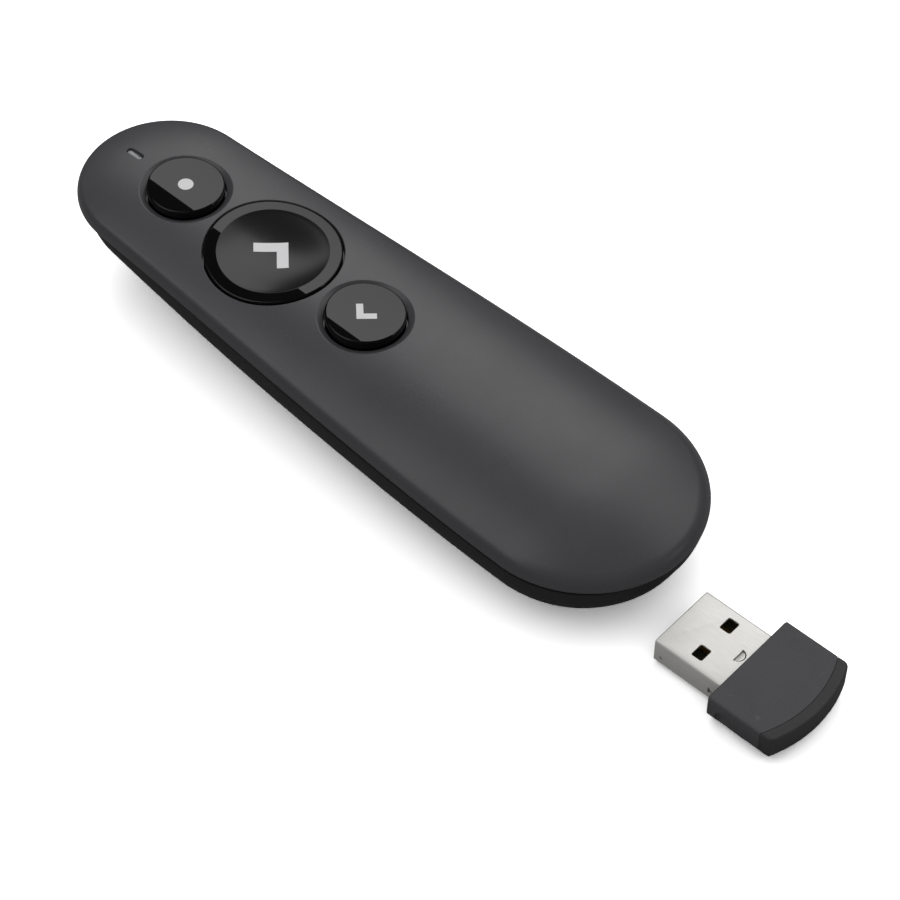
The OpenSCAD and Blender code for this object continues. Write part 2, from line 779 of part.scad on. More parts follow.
dongle_board_z = 26 * tick;
dongle_board_t = 0.8;
dongle_board_w = housing_w - 2 * housing_t - 0.8;
dongle_chip_z = dongle_board_z + dongle_board_t + touch;
module receiver_board() {
    color([0.05, 0.25, 0.12]) on_dongle() block([-dongle_board_w / 2, -housing_len + 0.3, dongle_board_z],
        [dongle_board_w / 2, -plug_root - 0.1, dongle_board_z + dongle_board_t]);
}

module receiver_chip() {
    color([0.06, 0.06, 0.06]) on_dongle() block([-2, -housing_len + 1, dongle_chip_z],
        [2, -housing_len + 5, dongle_chip_z + 0.8]);
}

top_cover();
bottom_case();
battery_door();
laser_button();
next_button();
back_button();
light_guide();
main_board();
switch_bases();
switch_covers();
laser_dome();
next_dome();
back_dome();
laser_plunger();
next_plunger();
back_plunger();
radio_chip();
radio_shield();
crystal();
power_inductor();
capacitors();
status_light();
laser_barrel();
laser_lens();
laser_diode();
laser_leads();
laser_window();
cell_can();
cell_cap();
positive_contact();
negative_contact();
negative_spring();
case_screws();
plug_shell();
plug_tongue();
plug_contacts();
receiver_board();
receiver_chip();
receiver_housing();
receiver_end_cap();
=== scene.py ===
import math

import bpy
import bmesh
from mathutils import Matrix, Vector


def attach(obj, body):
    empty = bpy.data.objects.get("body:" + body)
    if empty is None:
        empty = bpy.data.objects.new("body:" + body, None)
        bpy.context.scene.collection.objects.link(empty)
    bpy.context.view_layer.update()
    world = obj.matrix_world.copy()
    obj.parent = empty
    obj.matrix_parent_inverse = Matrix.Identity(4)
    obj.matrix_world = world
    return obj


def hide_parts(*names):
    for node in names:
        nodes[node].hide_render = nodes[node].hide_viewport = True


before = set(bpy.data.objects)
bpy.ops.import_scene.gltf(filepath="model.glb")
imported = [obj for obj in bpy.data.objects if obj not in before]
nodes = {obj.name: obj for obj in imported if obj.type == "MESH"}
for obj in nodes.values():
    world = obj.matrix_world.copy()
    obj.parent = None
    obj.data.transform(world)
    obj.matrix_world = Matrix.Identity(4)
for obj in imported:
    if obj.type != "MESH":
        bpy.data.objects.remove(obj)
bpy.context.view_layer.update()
print("frame loaded")

mm = 0.001


# small helpers for the meshes

def mendSkin(bm, gap=1e-7):  # gap is in metres; closer points become one, and the faces turn outwards
    bmesh.ops.remove_doubles(bm, verts=bm.verts, dist=gap)
    bmesh.ops.recalc_face_normals(bm, faces=bm.faces)
    return bm


def shifted(x, y, z):  # a move in millimetres
    return Matrix.Translation(Vector((x, y, z)) * mm)


def moved(bm, matrix):
    bmesh.ops.transform(bm, matrix=matrix, verts=bm.verts)
    return bm


def quarter(k, steps):  # the angle after k of the steps of a quarter turn
    return k / steps * math.pi / 2


def rolledOver(edge, left):  # how far a rounded edge has drawn in where this much is left to its end
    return edge - math.sqrt(max(edge ** 2 - (edge - left) ** 2, 0)) if left < edge else 0


def sweepRings(rings, capped=False):  # rings of millimetre points, skinned one after the other
    bm = bmesh.new()
    place = bm.verts.layers.int.new("place")
    verts = []
    for i, point in enumerate(rings[0]):
        v = bm.verts.new(Vector(point) * mm)
        v[place] = i
        verts.append(v)
    count = len(verts)
    edges = [bm.edges.new((verts[i], verts[(i + 1) % count])) for i in range(count)]
    if capped:
        bmesh.ops.contextual_create(bm, geom=edges)
    for points in rings[1:]:
        grown = bmesh.ops.extrude_edge_only(bm, edges=edges)["geom"]
        edges = [g for g in grown if isinstance(g, bmesh.types.BMEdge) and g.is_boundary]
        for v in (g for g in grown if isinstance(g, bmesh.types.BMVert)):
            v.co = Vector(points[v[place]]) * mm
    if capped:
        bmesh.ops.contextual_create(bm, geom=edges)
    return mendSkin(bm)


def turnProfile(profile, steps=96):  # spins (radius, height) pairs about the local z axis
    bm = bmesh.new()
    verts = [bm.verts.new((r * mm, 0, z * mm)) for r, z in profile]
    edges = [bm.edges.new(pair) for pair in zip(verts, verts[1:])]
    bmesh.ops.spin(
        bm, geom=verts + edges, axis=(0, 0, 1), cent=(0, 0, 0), angle=math.tau, steps=steps,
        use_merge=True, use_duplicate=False,
    )
    return mendSkin(bm)


def roundBar(radius, low, high, steps=48):  # an upright round bar
    return turnProfile([(0, low), (radius, low), (radius, high), (0, high)], steps)


def block(half, back, front, low, high, bevel=0.0):  # a box, centred across
    bm = bmesh.new()
    bmesh.ops.create_cube(bm, size=1)
    least, most = Vector((-half, back, low)) * mm, Vector((half, front, high)) * mm
    for v in bm.verts:
        v.co = Vector([most[i] if v.co[i] > 0 else least[i] for i in range(3)])
    if bevel:
        bmesh.ops.bevel(
            bm, geom=bm.edges[:], offset=bevel * mm, segments=2, profile=0.5, affect="EDGES", material=-1,
        )
    bmesh.ops.recalc_face_normals(bm, faces=bm.faces)
    return bm


def objectFrom(bm, name):
    mesh = bpy.data.meshes.new(name)
    bm.to_mesh(mesh)
    bm.free()
    obj = bpy.data.objects.new(name, mesh)
    bpy.context.scene.collection.objects.link(obj)
    return obj


def splitFaces(obj):  # bent faces are cut to triangles before a Boolean
    bm = bmesh.new()
    bm.from_mesh(obj.data)
    bmesh.ops.triangulate(bm, faces=bm.faces)
    bm.to_mesh(obj.data)
    bm.free()


def combine(base, tool, operation):  # keeps the result in base; the tool, a bmesh or an object, is used up
    if isinstance(tool, bmesh.types.BMesh):
        tool = objectFrom(tool, "tool")
    splitFaces(base)
    splitFaces(tool)
    cut = base.modifiers.new("cut", "BOOLEAN")
    cut.operation = operation
    cut.solver = "EXACT"
    cut.object = tool
    result = bpy.data.meshes.new_from_object(base.evaluated_get(bpy.context.evaluated_depsgraph_get()))
    base.modifiers.clear()
    spent = [base.data, tool.data]
    base.data = result
    bpy.data.objects.remove(tool)
    for mesh in spent:
        bpy.data.meshes.remove(mesh)


def cutAway(base, tool):
    combine(base, tool, "DIFFERENCE")


def joinOn(base, tool):
    combine(base, tool, "UNION")


def finishPiece(obj, body, material, replaced=(), crease=35):
    bm = bmesh.new()
    bm.from_mesh(obj.data)
    mendSkin(bm, 2e-7)
    bm.to_mesh(obj.data)
    bm.free()
    obj.data.shade_smooth()
    obj.data.set_sharp_from_angle(angle=math.radians(crease))
    obj.data.materials.clear()
    obj.data.materials.append(material)
    if replaced:
        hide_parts(*replaced)
    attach(obj, body)
    return obj


# shading groups that several materials share

def newGroup(name, inputs, outputs):  # an input without a value is a vector, and the rest are numbers
    group = bpy.data.node_groups.new(name, "ShaderNodeTree")
    for label, value in inputs.items():
        kind = "NodeSocketVector" if value is None else "NodeSocketFloat"
        socket = group.interface.new_socket(label, in_out="INPUT", socket_type=kind)
        if value is not None:
            socket.default_value = value
    for label in outputs:
        group.interface.new_socket(label, in_out="OUTPUT", socket_type="NodeSocketFloat")
    return group, group.nodes.new("NodeGroupInput"), group.nodes.new("NodeGroupOutput")


def setOrLink(tree, socket, value):
    if isinstance(value, (int, float)):
        socket.default_value = value
    else:
        tree.links.new(value, socket)


def mathNode(tree, operation, first, second):
    node = tree.nodes.new("ShaderNodeMath")
    node.operation = operation
    setOrLink(tree, node.inputs[0], first)
    setOrLink(tree, node.inputs[1], second)
    return node.outputs[0]


def noiseNode(tree, vector, scale, detail, roughness):
    node = tree.nodes.new("ShaderNodeTexNoise")
    node.inputs["Detail"].default_value = detail
    node.inputs["Roughness"].default_value = roughness
    tree.links.new(vector, node.inputs["Vector"])
    setOrLink(tree, node.inputs["Scale"], scale)
    return node.outputs["Fac"]


def rampNode(tree, factor, low, high):
    node = tree.nodes.new("ShaderNodeMapRange")
    node.inputs["From Min"].default_value = low
    node.inputs["From Max"].default_value = high
    tree.links.new(factor, node.inputs["Value"])
    return node.outputs["Result"]


def moldedGrain():  # fine spark-eroded grain: a tone and a height
    group, given, made = newGroup(
        "molded grain", {"Vector": None, "Grain Size": 0.25, "Depth": 1.0}, ["Tone", "Height"],
    )
    vector = given.outputs["Vector"]
    scale = mathNode(group, "DIVIDE", 1000.0, given.outputs["Grain Size"])
    fine = noiseNode(group, vector, scale, 2, 0.6)
    broad = noiseNode(group, vector, 90.0, 4, 0.55)
    fineShare, broadShare = mathNode(group, "MULTIPLY", fine, 0.6), mathNode(group, "MULTIPLY", broad, 0.4)
    both = mathNode(group, "ADD", fineShare, broadShare)
    group.links.new(rampNode(group, both, 0.35, 0.65), made.inputs["Tone"])
    group.links.new(mathNode(group, "MULTIPLY", fine, given.outputs["Depth"]), made.inputs["Height"])
    return group


def handledSurface():  # broad patches where fingers change the gloss
    group, given, made = newGroup(
        "handled surface",
        {"Vector": None, "Patch Scale": 60.0, "Base Roughness": 0.4, "Variation": 0.1},
        ["Roughness"],
    )
    noise = noiseNode(group, given.outputs["Vector"], given.outputs["Patch Scale"], 5, 0.6)
    patches = mathNode(group, "SUBTRACT", rampNode(group, noise, 0.3, 0.7), 0.5)
    change = mathNode(group, "MULTIPLY", patches, given.outputs["Variation"])
    group.links.new(mathNode(group, "ADD", given.outputs["Base Roughness"], change), made.inputs["Roughness"])
    return group


def restingDust():  # sparse light specks on faces that look up
    group, given, made = newGroup(
        "resting dust", {"Vector": None, "Speck Scale": 900.0, "Amount": 0.2}, ["Mask"],
    )
    noise = noiseNode(group, given.outputs["Vector"], given.outputs["Speck Scale"], 1, 0.4)
    specks = rampNode(group, noise, 0.7, 0.8)
    shape = group.nodes.new("ShaderNodeNewGeometry")
    split = group.nodes.new("ShaderNodeSeparateXYZ")
    group.links.new(shape.outputs["Normal"], split.inputs[0])
    settled = mathNode(group, "MULTIPLY", specks, rampNode(group, split.outputs["Z"], 0.2, 1.0))
    group.links.new(mathNode(group, "MULTIPLY", settled, given.outputs["Amount"]), made.inputs["Mask"])
    return group


grainGroup, handledGroup, dustGroup = moldedGrain(), handledSurface(), restingDust()

usualLook = {  # what a finish has where its own values don't say otherwise
    "grainSize": 0.25, "grainDepth": 1.0, "stretch": (1, 1, 1), "dust": 0.05, "dustTone": (0.55, 0.53, 0.5),
    "patchScale": 60.0, "variation": 0.08, "bump": 0.3, "bumpDistance": 0.00002,
    "metallic": 0.0, "ior": 1.5, "coat": 0.0, "coatRoughness": 0.05, "transmission": 0.0,
}
plainSockets = {
    "metallic": "Metallic", "ior": "IOR", "coat": "Coat Weight", "coatRoughness": "Coat Roughness",
    "transmission": "Transmission Weight",
}


def placeGroup(tree, group, vector, values):
    node = tree.nodes.new("ShaderNodeGroup")
    node.node_tree = group
    tree.links.new(vector, node.inputs["Vector"])
    for label, value in values.items():
        node.inputs[label].default_value = value
    return node


def mixNode(tree, factor, second):
    node = tree.nodes.new("ShaderNodeMix")
    node.data_type = "RGBA"
    node.inputs["B"].default_value = (*second, 1)
    tree.links.new(factor, node.inputs["Factor"])
    return node


def makeMaterial(name, look):
    look = {**usualLook, **look}
    material = bpy.data.materials.new(name)
    material.use_nodes = True
    tree = material.node_tree
    tree.nodes.clear()
    output = tree.nodes.new("ShaderNodeOutputMaterial")
    surface = tree.nodes.new("ShaderNodeBsdfPrincipled")
    tree.links.new(surface.outputs[0], output.inputs["Surface"])
    coordinates = tree.nodes.new("ShaderNodeTexCoord").outputs["Object"]
    stretch = tree.nodes.new("ShaderNodeMapping")
    stretch.inputs["Scale"].default_value = look["stretch"]
    tree.links.new(coordinates, stretch.inputs["Vector"])

    grain = placeGroup(tree, grainGroup, stretch.outputs["Vector"], {
        "Grain Size": look["grainSize"], "Depth": look["grainDepth"],
    })
    dust = placeGroup(tree, dustGroup, coordinates, {"Amount": look["dust"]})
    handled = placeGroup(tree, handledGroup, coordinates, {
        "Patch Scale": look["patchScale"],
        "Base Roughness": look["roughness"],
        "Variation": look["variation"],
    })
    toned = mixNode(tree, grain.outputs["Tone"], look["light"])
    toned.inputs["A"].default_value = (*look["dark"], 1)
    dusted = mixNode(tree, dust.outputs["Mask"], look["dustTone"])
    tree.links.new(toned.outputs["Result"], dusted.inputs["A"])
    tree.links.new(dusted.outputs["Result"], surface.inputs["Base Color"])
    tree.links.new(handled.outputs["Roughness"], surface.inputs["Roughness"])

    bump = tree.nodes.new("ShaderNodeBump")
    bump.inputs["Strength"].default_value = look["bump"]
    bump.inputs["Distance"].default_value = look["bumpDistance"]
    tree.links.new(grain.outputs["Height"], bump.inputs["Height"])
    tree.links.new(bump.outputs["Normal"], surface.inputs["Normal"])
    for key, label in plainSockets.items():
        surface.inputs[label].default_value = look[key]
    return material


softShell = makeMaterial("soft touch shell", {
    "dark": (0.043, 0.043, 0.0465), "light": (0.051, 0.051, 0.0545), "roughness": 0.29, "variation": 0.06,
    "bump": 0.25, "grainSize": 0.2, "ior": 1.45, "dust": 0.0,
})
# the case is the cover's dark plastic made about a third as light: painted shade for its side below the seam,
# which faces down
shadedCaseShell = makeMaterial("case plastic with painted shade", {
    "dark": (0.015, 0.015, 0.0165), "light": (0.020, 0.020, 0.0215), "roughness": 0.45, "variation": 0.06,
    "bump": 0.25, "grainSize": 0.2, "ior": 1.28, "dust": 0.0,
})
pianoBlack = makeMaterial("piano black cap", {
    "dark": (0.001, 0.001, 0.001), "light": (0.0018, 0.0018, 0.0018), "roughness": 0.015, "variation": 0.01,
    "bump": 0.01, "bumpDistance": 0.000001, "ior": 1.4, "dust": 0.0,
})
satinDish = makeMaterial("satin black dish", {
    "dark": (0.004, 0.004, 0.0045), "light": (0.006, 0.006, 0.0065), "roughness": 0.2, "variation": 0.03,
    "bump": 0.05, "bumpDistance": 0.00001, "ior": 1.4, "dust": 0.0,
})
iconInk = makeMaterial("icon ink", {
    "dark": (0.56, 0.56, 0.57), "light": (0.64, 0.64, 0.65), "roughness": 0.5, "bump": 0.2, "grainSize": 0.12,
})
guidePlastic = makeMaterial("light guide", {
    "dark": (0.45, 0.46, 0.48), "light": (0.55, 0.56, 0.58), "roughness": 0.25,
    "transmission": 0.5, "bump": 0.05,
})
boardMask = makeMaterial("board mask", {
    "dark": (0.008, 0.06, 0.025), "light": (0.014, 0.085, 0.035), "roughness": 0.35,
    "bump": 0.2, "grainSize": 0.6, "coat": 0.3,
})
switchPlastic = makeMaterial("switch plastic", {
    "dark": (0.012, 0.012, 0.013), "light": (0.02, 0.02, 0.021), "roughness": 0.45, "bump": 0.2,
})
springSteel = makeMaterial("spring steel", {
    "dark": (0.5, 0.49, 0.47), "light": (0.62, 0.61, 0.59), "metallic": 1.0, "roughness": 0.28,
    "bump": 0.1, "stretch": (1, 12, 1),
})
whitePlastic = makeMaterial("white nylon", {
    "dark": (0.66, 0.66, 0.64), "light": (0.75, 0.75, 0.73), "roughness": 0.45, "bump": 0.15,
})
ceramicBody = makeMaterial("ceramic", {
    "dark": (0.42, 0.34, 0.24), "light": (0.5, 0.42, 0.31), "roughness": 0.5, "grainSize": 0.15,
})
brassTube = makeMaterial("brass tube", {
    "dark": (0.55, 0.38, 0.14), "light": (0.68, 0.49, 0.2), "metallic": 1.0, "roughness": 0.3,
    "bump": 0.1, "stretch": (1, 8, 1),
})
lensGlass = makeMaterial("lens acrylic", {
    "dark": (0.85, 0.88, 0.88), "light": (0.9, 0.93, 0.93), "roughness": 0.04, "variation": 0.02,
    "transmission": 1.0, "bump": 0.02,
})
darkWindow = makeMaterial("dark red window", {
    "dark": (0.03, 0.004, 0.004), "light": (0.05, 0.006, 0.006), "roughness": 0.08, "variation": 0.03,
    "transmission": 0.6, "bump": 0.02,
})
plugSteel = makeMaterial("plug steel", {
    "dark": (0.74, 0.73, 0.70), "light": (0.82, 0.81, 0.78), "metallic": 0.65, "roughness": 0.42,
    "variation": 0.06, "bump": 0.12, "bumpDistance": 0.00001, "grainSize": 0.2, "stretch": (1, 0.08, 1),
})
tonguePlastic = makeMaterial("plug tongue", {
    "dark": (0.035, 0.024, 0.017), "light": (0.022, 0.036, 0.018), "roughness": 0.45,
    "bump": 0.1, "grainSize": 2.0,
})
contactGold = makeMaterial("contact gold", {
    "dark": (0.72, 0.5, 0.17), "light": (0.85, 0.62, 0.25), "metallic": 1.0, "roughness": 0.22, "bump": 0.05,
})
receiverShell = makeMaterial("receiver shell", {
    "dark": (0.056, 0.056, 0.060), "light": (0.070, 0.070, 0.074), "roughness": 0.55, "variation": 0.05,
    "bump": 0.4, "bumpDistance": 0.00003, "ior": 1.3, "dust": 0.03,
})
receiverEnd = makeMaterial("receiver end", {
    "dark": (0.032, 0.032, 0.033), "light": (0.042, 0.042, 0.043), "roughness": 0.5, "variation": 0.05,
    "bump": 0.35, "bumpDistance": 0.00003, "ior": 1.3, "dust": 0.03,
})
cellWrap = makeMaterial("battery wrap", {
    "dark": (0.035, 0.05, 0.075), "light": (0.05, 0.07, 0.1), "roughness": 0.25, "coat": 0.4, "bump": 0.05,
})
print("materials made")


# outline shared by the top cover, the bottom case and the battery door

outline = {
    "palmRadius": 18.65, "noseRadius": 14.4, "spineLength": 86.5, "sideBow": 0.6,
    "noseSteps": 28, "sideSteps": 60, "palmSteps": 40,
}
shell = {
    "topHeight": 18.0, "topTilt": 2.0, "buttonY": 21.95, "crownDrop": 2.72, "crownPower": 2.4,
    "rimWidth": 2.1, "rimHeight": 1.5, "rimFade": 0.5, "rimSteps": 12, "noseTuck": 1.4, "palmTuck": 0.8,
    "seamDrop": 4.85, "seamGap": 0.16, "seamRound": 0.22, "seamStep": 0.26, "seamSteps": 3,
    "skirtHeight": 0.7, "skirtTrim": 0.02, "flatLength": 8.0, "noseLift": 7.1,
    "coverWall": 1.5, "caseWall": 2.4, "floorWall": 1.4,
    "lipInset": 1.65, "lipEnd": 40.95, "lipRise": 0.7, "noseLipDrop": 0.14,
    "topShares": (0.985, 0.96, 0.92, 0.87, 0.81, 0.74, 0.66, 0.57, 0.47, 0.36, 0.24, 0.12, 0),
    "ceilingShares": (0, 0.3, 0.6, 0.85, 1),
    "bellyAngles": (68, 64, 59, 54, 48, 42, 36, 30, 24, 18, 12, 6, 0),
}
palmCentre = -(outline["spineLength"] + outline["noseRadius"] - outline["palmRadius"]) / 2
noseCentre = palmCentre + outline["spineLength"]
noseTip = noseCentre + outline["noseRadius"]
bellyEnd = math.radians(shell["bellyAngles"][0])
tilt = math.radians(shell["topTilt"])


def taperAt(t):  # radius of the outline at a share of the spine, and the slope of the side there
    narrowing = outline["palmRadius"] - outline["noseRadius"]
    bow = outline["sideBow"] * 27 / 4  # t * (1 - t) ** 2 is 4 / 27 where the bow is widest
    radius = outline["palmRadius"] - narrowing * t + bow * t * (1 - t) ** 2
    return radius, math.asin((narrowing - bow * (1 - t) * (1 - 3 * t)) / outline["spineLength"])


def outlineStations():  # centre on the spine, radius, x share, y share, way to the nose, way round the palm
    half = []
    noseAngle, palmAngle = taperAt(1)[1], taperAt(0)[1]
    for k in range(outline["noseSteps"]):
        angle = math.pi / 2 - k * (math.pi / 2 - noseAngle) / outline["noseSteps"]
        half.append((noseCentre, outline["noseRadius"], angle, 1, 0))
    for k in range(outline["sideSteps"] + 1):
        t = 1 - k / outline["sideSteps"]
        half.append((palmCentre + t * outline["spineLength"], *taperAt(t), t, 0))
    for k in range(1, outline["palmSteps"] + 1):
        way = k / outline["palmSteps"]
        half.append((palmCentre, outline["palmRadius"], palmAngle - way * (math.pi / 2 + palmAngle), 0, way))
    right = [(c, r, math.cos(a), math.sin(a), n, p) for c, r, a, n, p in half]
    left = [(c, r, -x, y, n, p) for c, r, x, y, n, p in right[-2:0:-1]]
    return right + left


stations = outlineStations()


def tuckAt(noseWay, palmWay):  # how far the seam draws in below the two ends
    return shell["noseTuck"] * noseWay ** 2 + shell["palmTuck"] * palmWay ** 2


def rimWidthAt(noseWay):
    return shell["rimWidth"] * (1 - shell["rimFade"] * noseWay)


def ringAt(share, inset, heightAt, tucked=0.0, rolled=0.0):
    points = []
    for centre, radius, across, along, noseWay, palmWay in stations:
        drawn = inset + tucked * tuckAt(noseWay, palmWay) + rolled * rimWidthAt(noseWay)
        r = (radius - drawn) * share
        points.append((r * across, centre + r * along, heightAt(r, centre + r * along)))
    return points


def planeZ(y):
    return shell["topHeight"] + (y - shell["buttonY"]) * math.tan(tilt)


def seamZ(y):
    return planeZ(y) - shell["seamDrop"]


def underSeam(r, y):  # upper face of the bottom case
    return seamZ(y) - shell["seamGap"] / 2


def overSeam(r, y):  # lower face of the top cover
    return seamZ(y) + shell["seamGap"] / 2


def crownAt(r):
    return shell["crownDrop"] * (abs(r) / outline["palmRadius"]) ** shell["crownPower"]


def topZ(r, y):
    return planeZ(y) - crownAt(r)


def liftZ(y):
    if y < shell["flatLength"]:
        return 0.0
    return shell["noseLift"] * ((y - shell["flatLength"]) / (noseTip - shell["flatLength"])) ** 2


def bellyZ(angle, y, floorRise=0.0):  # the straight skirt under the seam runs out towards the nose
    share = min(max((y - palmCentre) / outline["spineLength"], 0), 1)
    skirt = underSeam(0, y) - shell["seamRound"] - shell["skirtTrim"]
    skirt -= shell["skirtHeight"] * (1 - share ** 2)
    return skirt - (skirt - liftZ(y) - floorRise) * math.sin(angle) / math.sin(bellyEnd)


def rimRing(a):  # angle 0 is on the side wall, a quarter turn meets the crowned top
    drop = shell["rimHeight"] * (1 - math.sin(a))
    return ringAt(1, 0, lambda r, y: topZ(r, y) - drop, rolled=1 - math.cos(a))


def sideRings(steps=5):  # from the seam up to the widest ring, leaning in below the ends
    rings = []
    for k in range(1, steps):
        up = k / steps
        low = lambda r, y: overSeam(r, y) + shell["seamRound"]
        height = lambda r, y: low(r, y) + up * (topZ(r, y) - shell["rimHeight"] - low(r, y))
        rings.append(ringAt(1, shell["seamStep"] * (1 - up) ** 2, height, tucked=(1 - up) ** 2))
    return rings


def topFrame(y):  # frame that slopes with the top face; y counts from the next button
    start = shifted(0, shell["buttonY"], shell["topHeight"])
    return start @ Matrix.Rotation(tilt, 4, "X") @ shifted(0, y, 0)


def surfacePoint(x, y, depth):  # below or above the crowned top face
    worldY = shell["buttonY"] + y * math.cos(tilt)
    reach = abs(x) if worldY < noseCentre else math.hypot(x, worldY - noseCentre)
    return Vector((x, worldY, topZ(reach, worldY))) + depth * Vector((0, -math.sin(tilt), math.cos(tilt)))


# buttons: radius, place from the next button, rise and dish

buttons = {
    "laser": {"place": 19.2, "radius": 6.15, "rise": 0.9, "dish": 0.0, "dishRadius": 3.0, "lean": 0.0},
    "next": {"place": 0.0, "radius": 10.8, "rise": 0.12, "dish": 1.1, "dishRadius": 8.8, "lean": 0.0},
    "back": {"place": -19.6, "radius": 6.25, "rise": 0.9, "dish": 0.0, "dishRadius": 3.0, "lean": 0.025},
}
buttonFit = {
    "gap": 0.22, "holeRound": 0.2, "wellRound": 0.12, "edgeRound": 0.3, "wall": 0.9,
    "grooveDepth": 0.5, "grooveWidth": 1.0, "grooveRound": 0.25,
    "collarTop": -1.6, "collarDepth": 0.7, "collarWidth": 0.9, "collarRound": 0.1,
    "postRadius": 1.5, "postEnd": -3.3, "postRound": 0.15, "pocketLow": -4.5, "pocketTop": -1.46,
}
cutting = {"below": -4, "above": 1, "clear": 0.004}  # how far the cutters reach from the top face


def holeCutter(button, steps=128):  # its rings of (radius, depth) follow the crowned face
    fit, y = buttonFit, button["place"]
    hole = button["radius"] + fit["gap"]
    if button["dish"]:
        slope = [(r, d + cutting["clear"]) for r, d in roundedRim(hole, 0, fit["holeRound"])]
        mouth = hole + fit["holeRound"]
    else:
        slope = roundedRim(hole, -fit["grooveDepth"], fit["wellRound"], 3) + grooveSlope(hole)
        mouth = hole + fit["grooveWidth"] + fit["grooveRound"]
    rings = []
    for radius, depth in [(hole, cutting["below"])] + slope + [(mouth, cutting["above"])]:
        angles = [math.tau * k / steps for k in range(steps)]
        rings.append([surfacePoint(radius * math.cos(a), y + radius * math.sin(a), depth) for a in angles])
    return sweepRings(rings, capped=True)


def roundedRim(radius, depth, rounding, steps=6):  # profile of a hole's rim that rolls over to the face
    points = []
    for k in range(steps + 1):
        a = quarter(k, steps)
        points.append((radius + rounding * (1 - math.cos(a)), depth - rounding * (1 - math.sin(a))))
    return points


def grooveSlope(hole, steps=6):  # a shallow cone out to the face, rolled over at its outer edge
    fit = buttonFit
    end, roll = hole + fit["grooveWidth"], fit["grooveRound"]
    bend = fit["grooveDepth"] * roll / (fit["grooveWidth"] - fit["wellRound"])
    points = []
    for k in range(1, steps + 1):
        share = k / steps
        points.append((end - roll + 2 * roll * share, cutting["clear"] * share - bend * (1 - share) ** 2))
    return points


def slotOutline(spread, radius, steps=16):  # two half circles, a spread apart along y
    points = []
    for side in (1, -1):
        for k in range(steps + 1):
            a = math.pi * (k / steps + (0 if side > 0 else 1))
            points.append((radius * math.cos(a), side * spread / 2 + radius * math.sin(a)))
    return points


def topDirection(x, y, least=1e-6):  # which way the crowned face looks, or nothing out on the rolled rim
    centre = min(max(y, palmCentre), noseCentre)
    reach = max(math.hypot(x, y - centre), least)
    t = (centre - palmCentre) / outline["spineLength"]
    if reach > taperAt(t)[0] - rimWidthAt(t):
        return None
    steepness = shell["crownDrop"] * shell["crownPower"] / outline["palmRadius"]
    slope = steepness * (reach / outline["palmRadius"]) ** (shell["crownPower"] - 1)
    return Vector((slope * x / reach, slope * (y - centre) / reach - math.tan(tilt), 1)).normalized()


def smoothTop(mesh, within=0.03, alike=0.97):  # the cut faces shade like the crowned face they lie on
    normals = [corner.vector.copy() for corner in mesh.corner_normals]
    for face in mesh.polygons:
        for i in face.loop_indices:
            x, y, z = mesh.vertices[mesh.loops[i].vertex_index].co / mm
            direction = topDirection(x, y)
            centre = min(max(y, palmCentre), noseCentre)
            if direction and abs(z - topZ(math.hypot(x, y - centre), y)) < within:
                if direction.dot(face.normal) > alike:
                    normals[i] = direction
    mesh.normals_split_custom_set(normals)


lightSlot = {
    "y": 30.75, "length": 3.35, "width": 1.15, "rounding": 0.15, "recess": 0.85, "fit": 0.06,
    "halfWidth": 0.7, "low": -4.2, "under": -3.2, "bevel": 0.08,
    "legBack": 23.4, "legFront": 25.0, "legLow": -5.0, "legTop": -3.5,
}
stakes = {
    "x": 9.0, "y": (-13.6, 13.2), "pinRadius": 0.65, "pinLow": -7.0, "radius": 1.3, "low": -5.9, "top": -1.2,
}
screws = {
    "x": 7.9, "y": -31.95, "bossRadius": 2.1, "shankHole": 1.0, "shankTop": 13, "headHole": 1.55, "seat": 4.3,
    "postRadius": 2.0, "pilotRadius": 0.82, "postLow": 11.1, "postTop": 15.2, "postRoof": 1.0,
}


def slotCutter():
    s = lightSlot
    rim = [(grow, depth + cutting["clear"]) for grow, depth in roundedRim(0, 0, s["rounding"])]
    rings = []
    for grow, depth in [(0, cutting["below"])] + rim + [(s["rounding"], cutting["above"])]:
        points = slotOutline(s["length"] - s["width"], s["width"] / 2 + grow)
        rings.append([surfacePoint(x, s["y"] + y, depth) for x, y in points])
    return sweepRings(rings, capped=True)


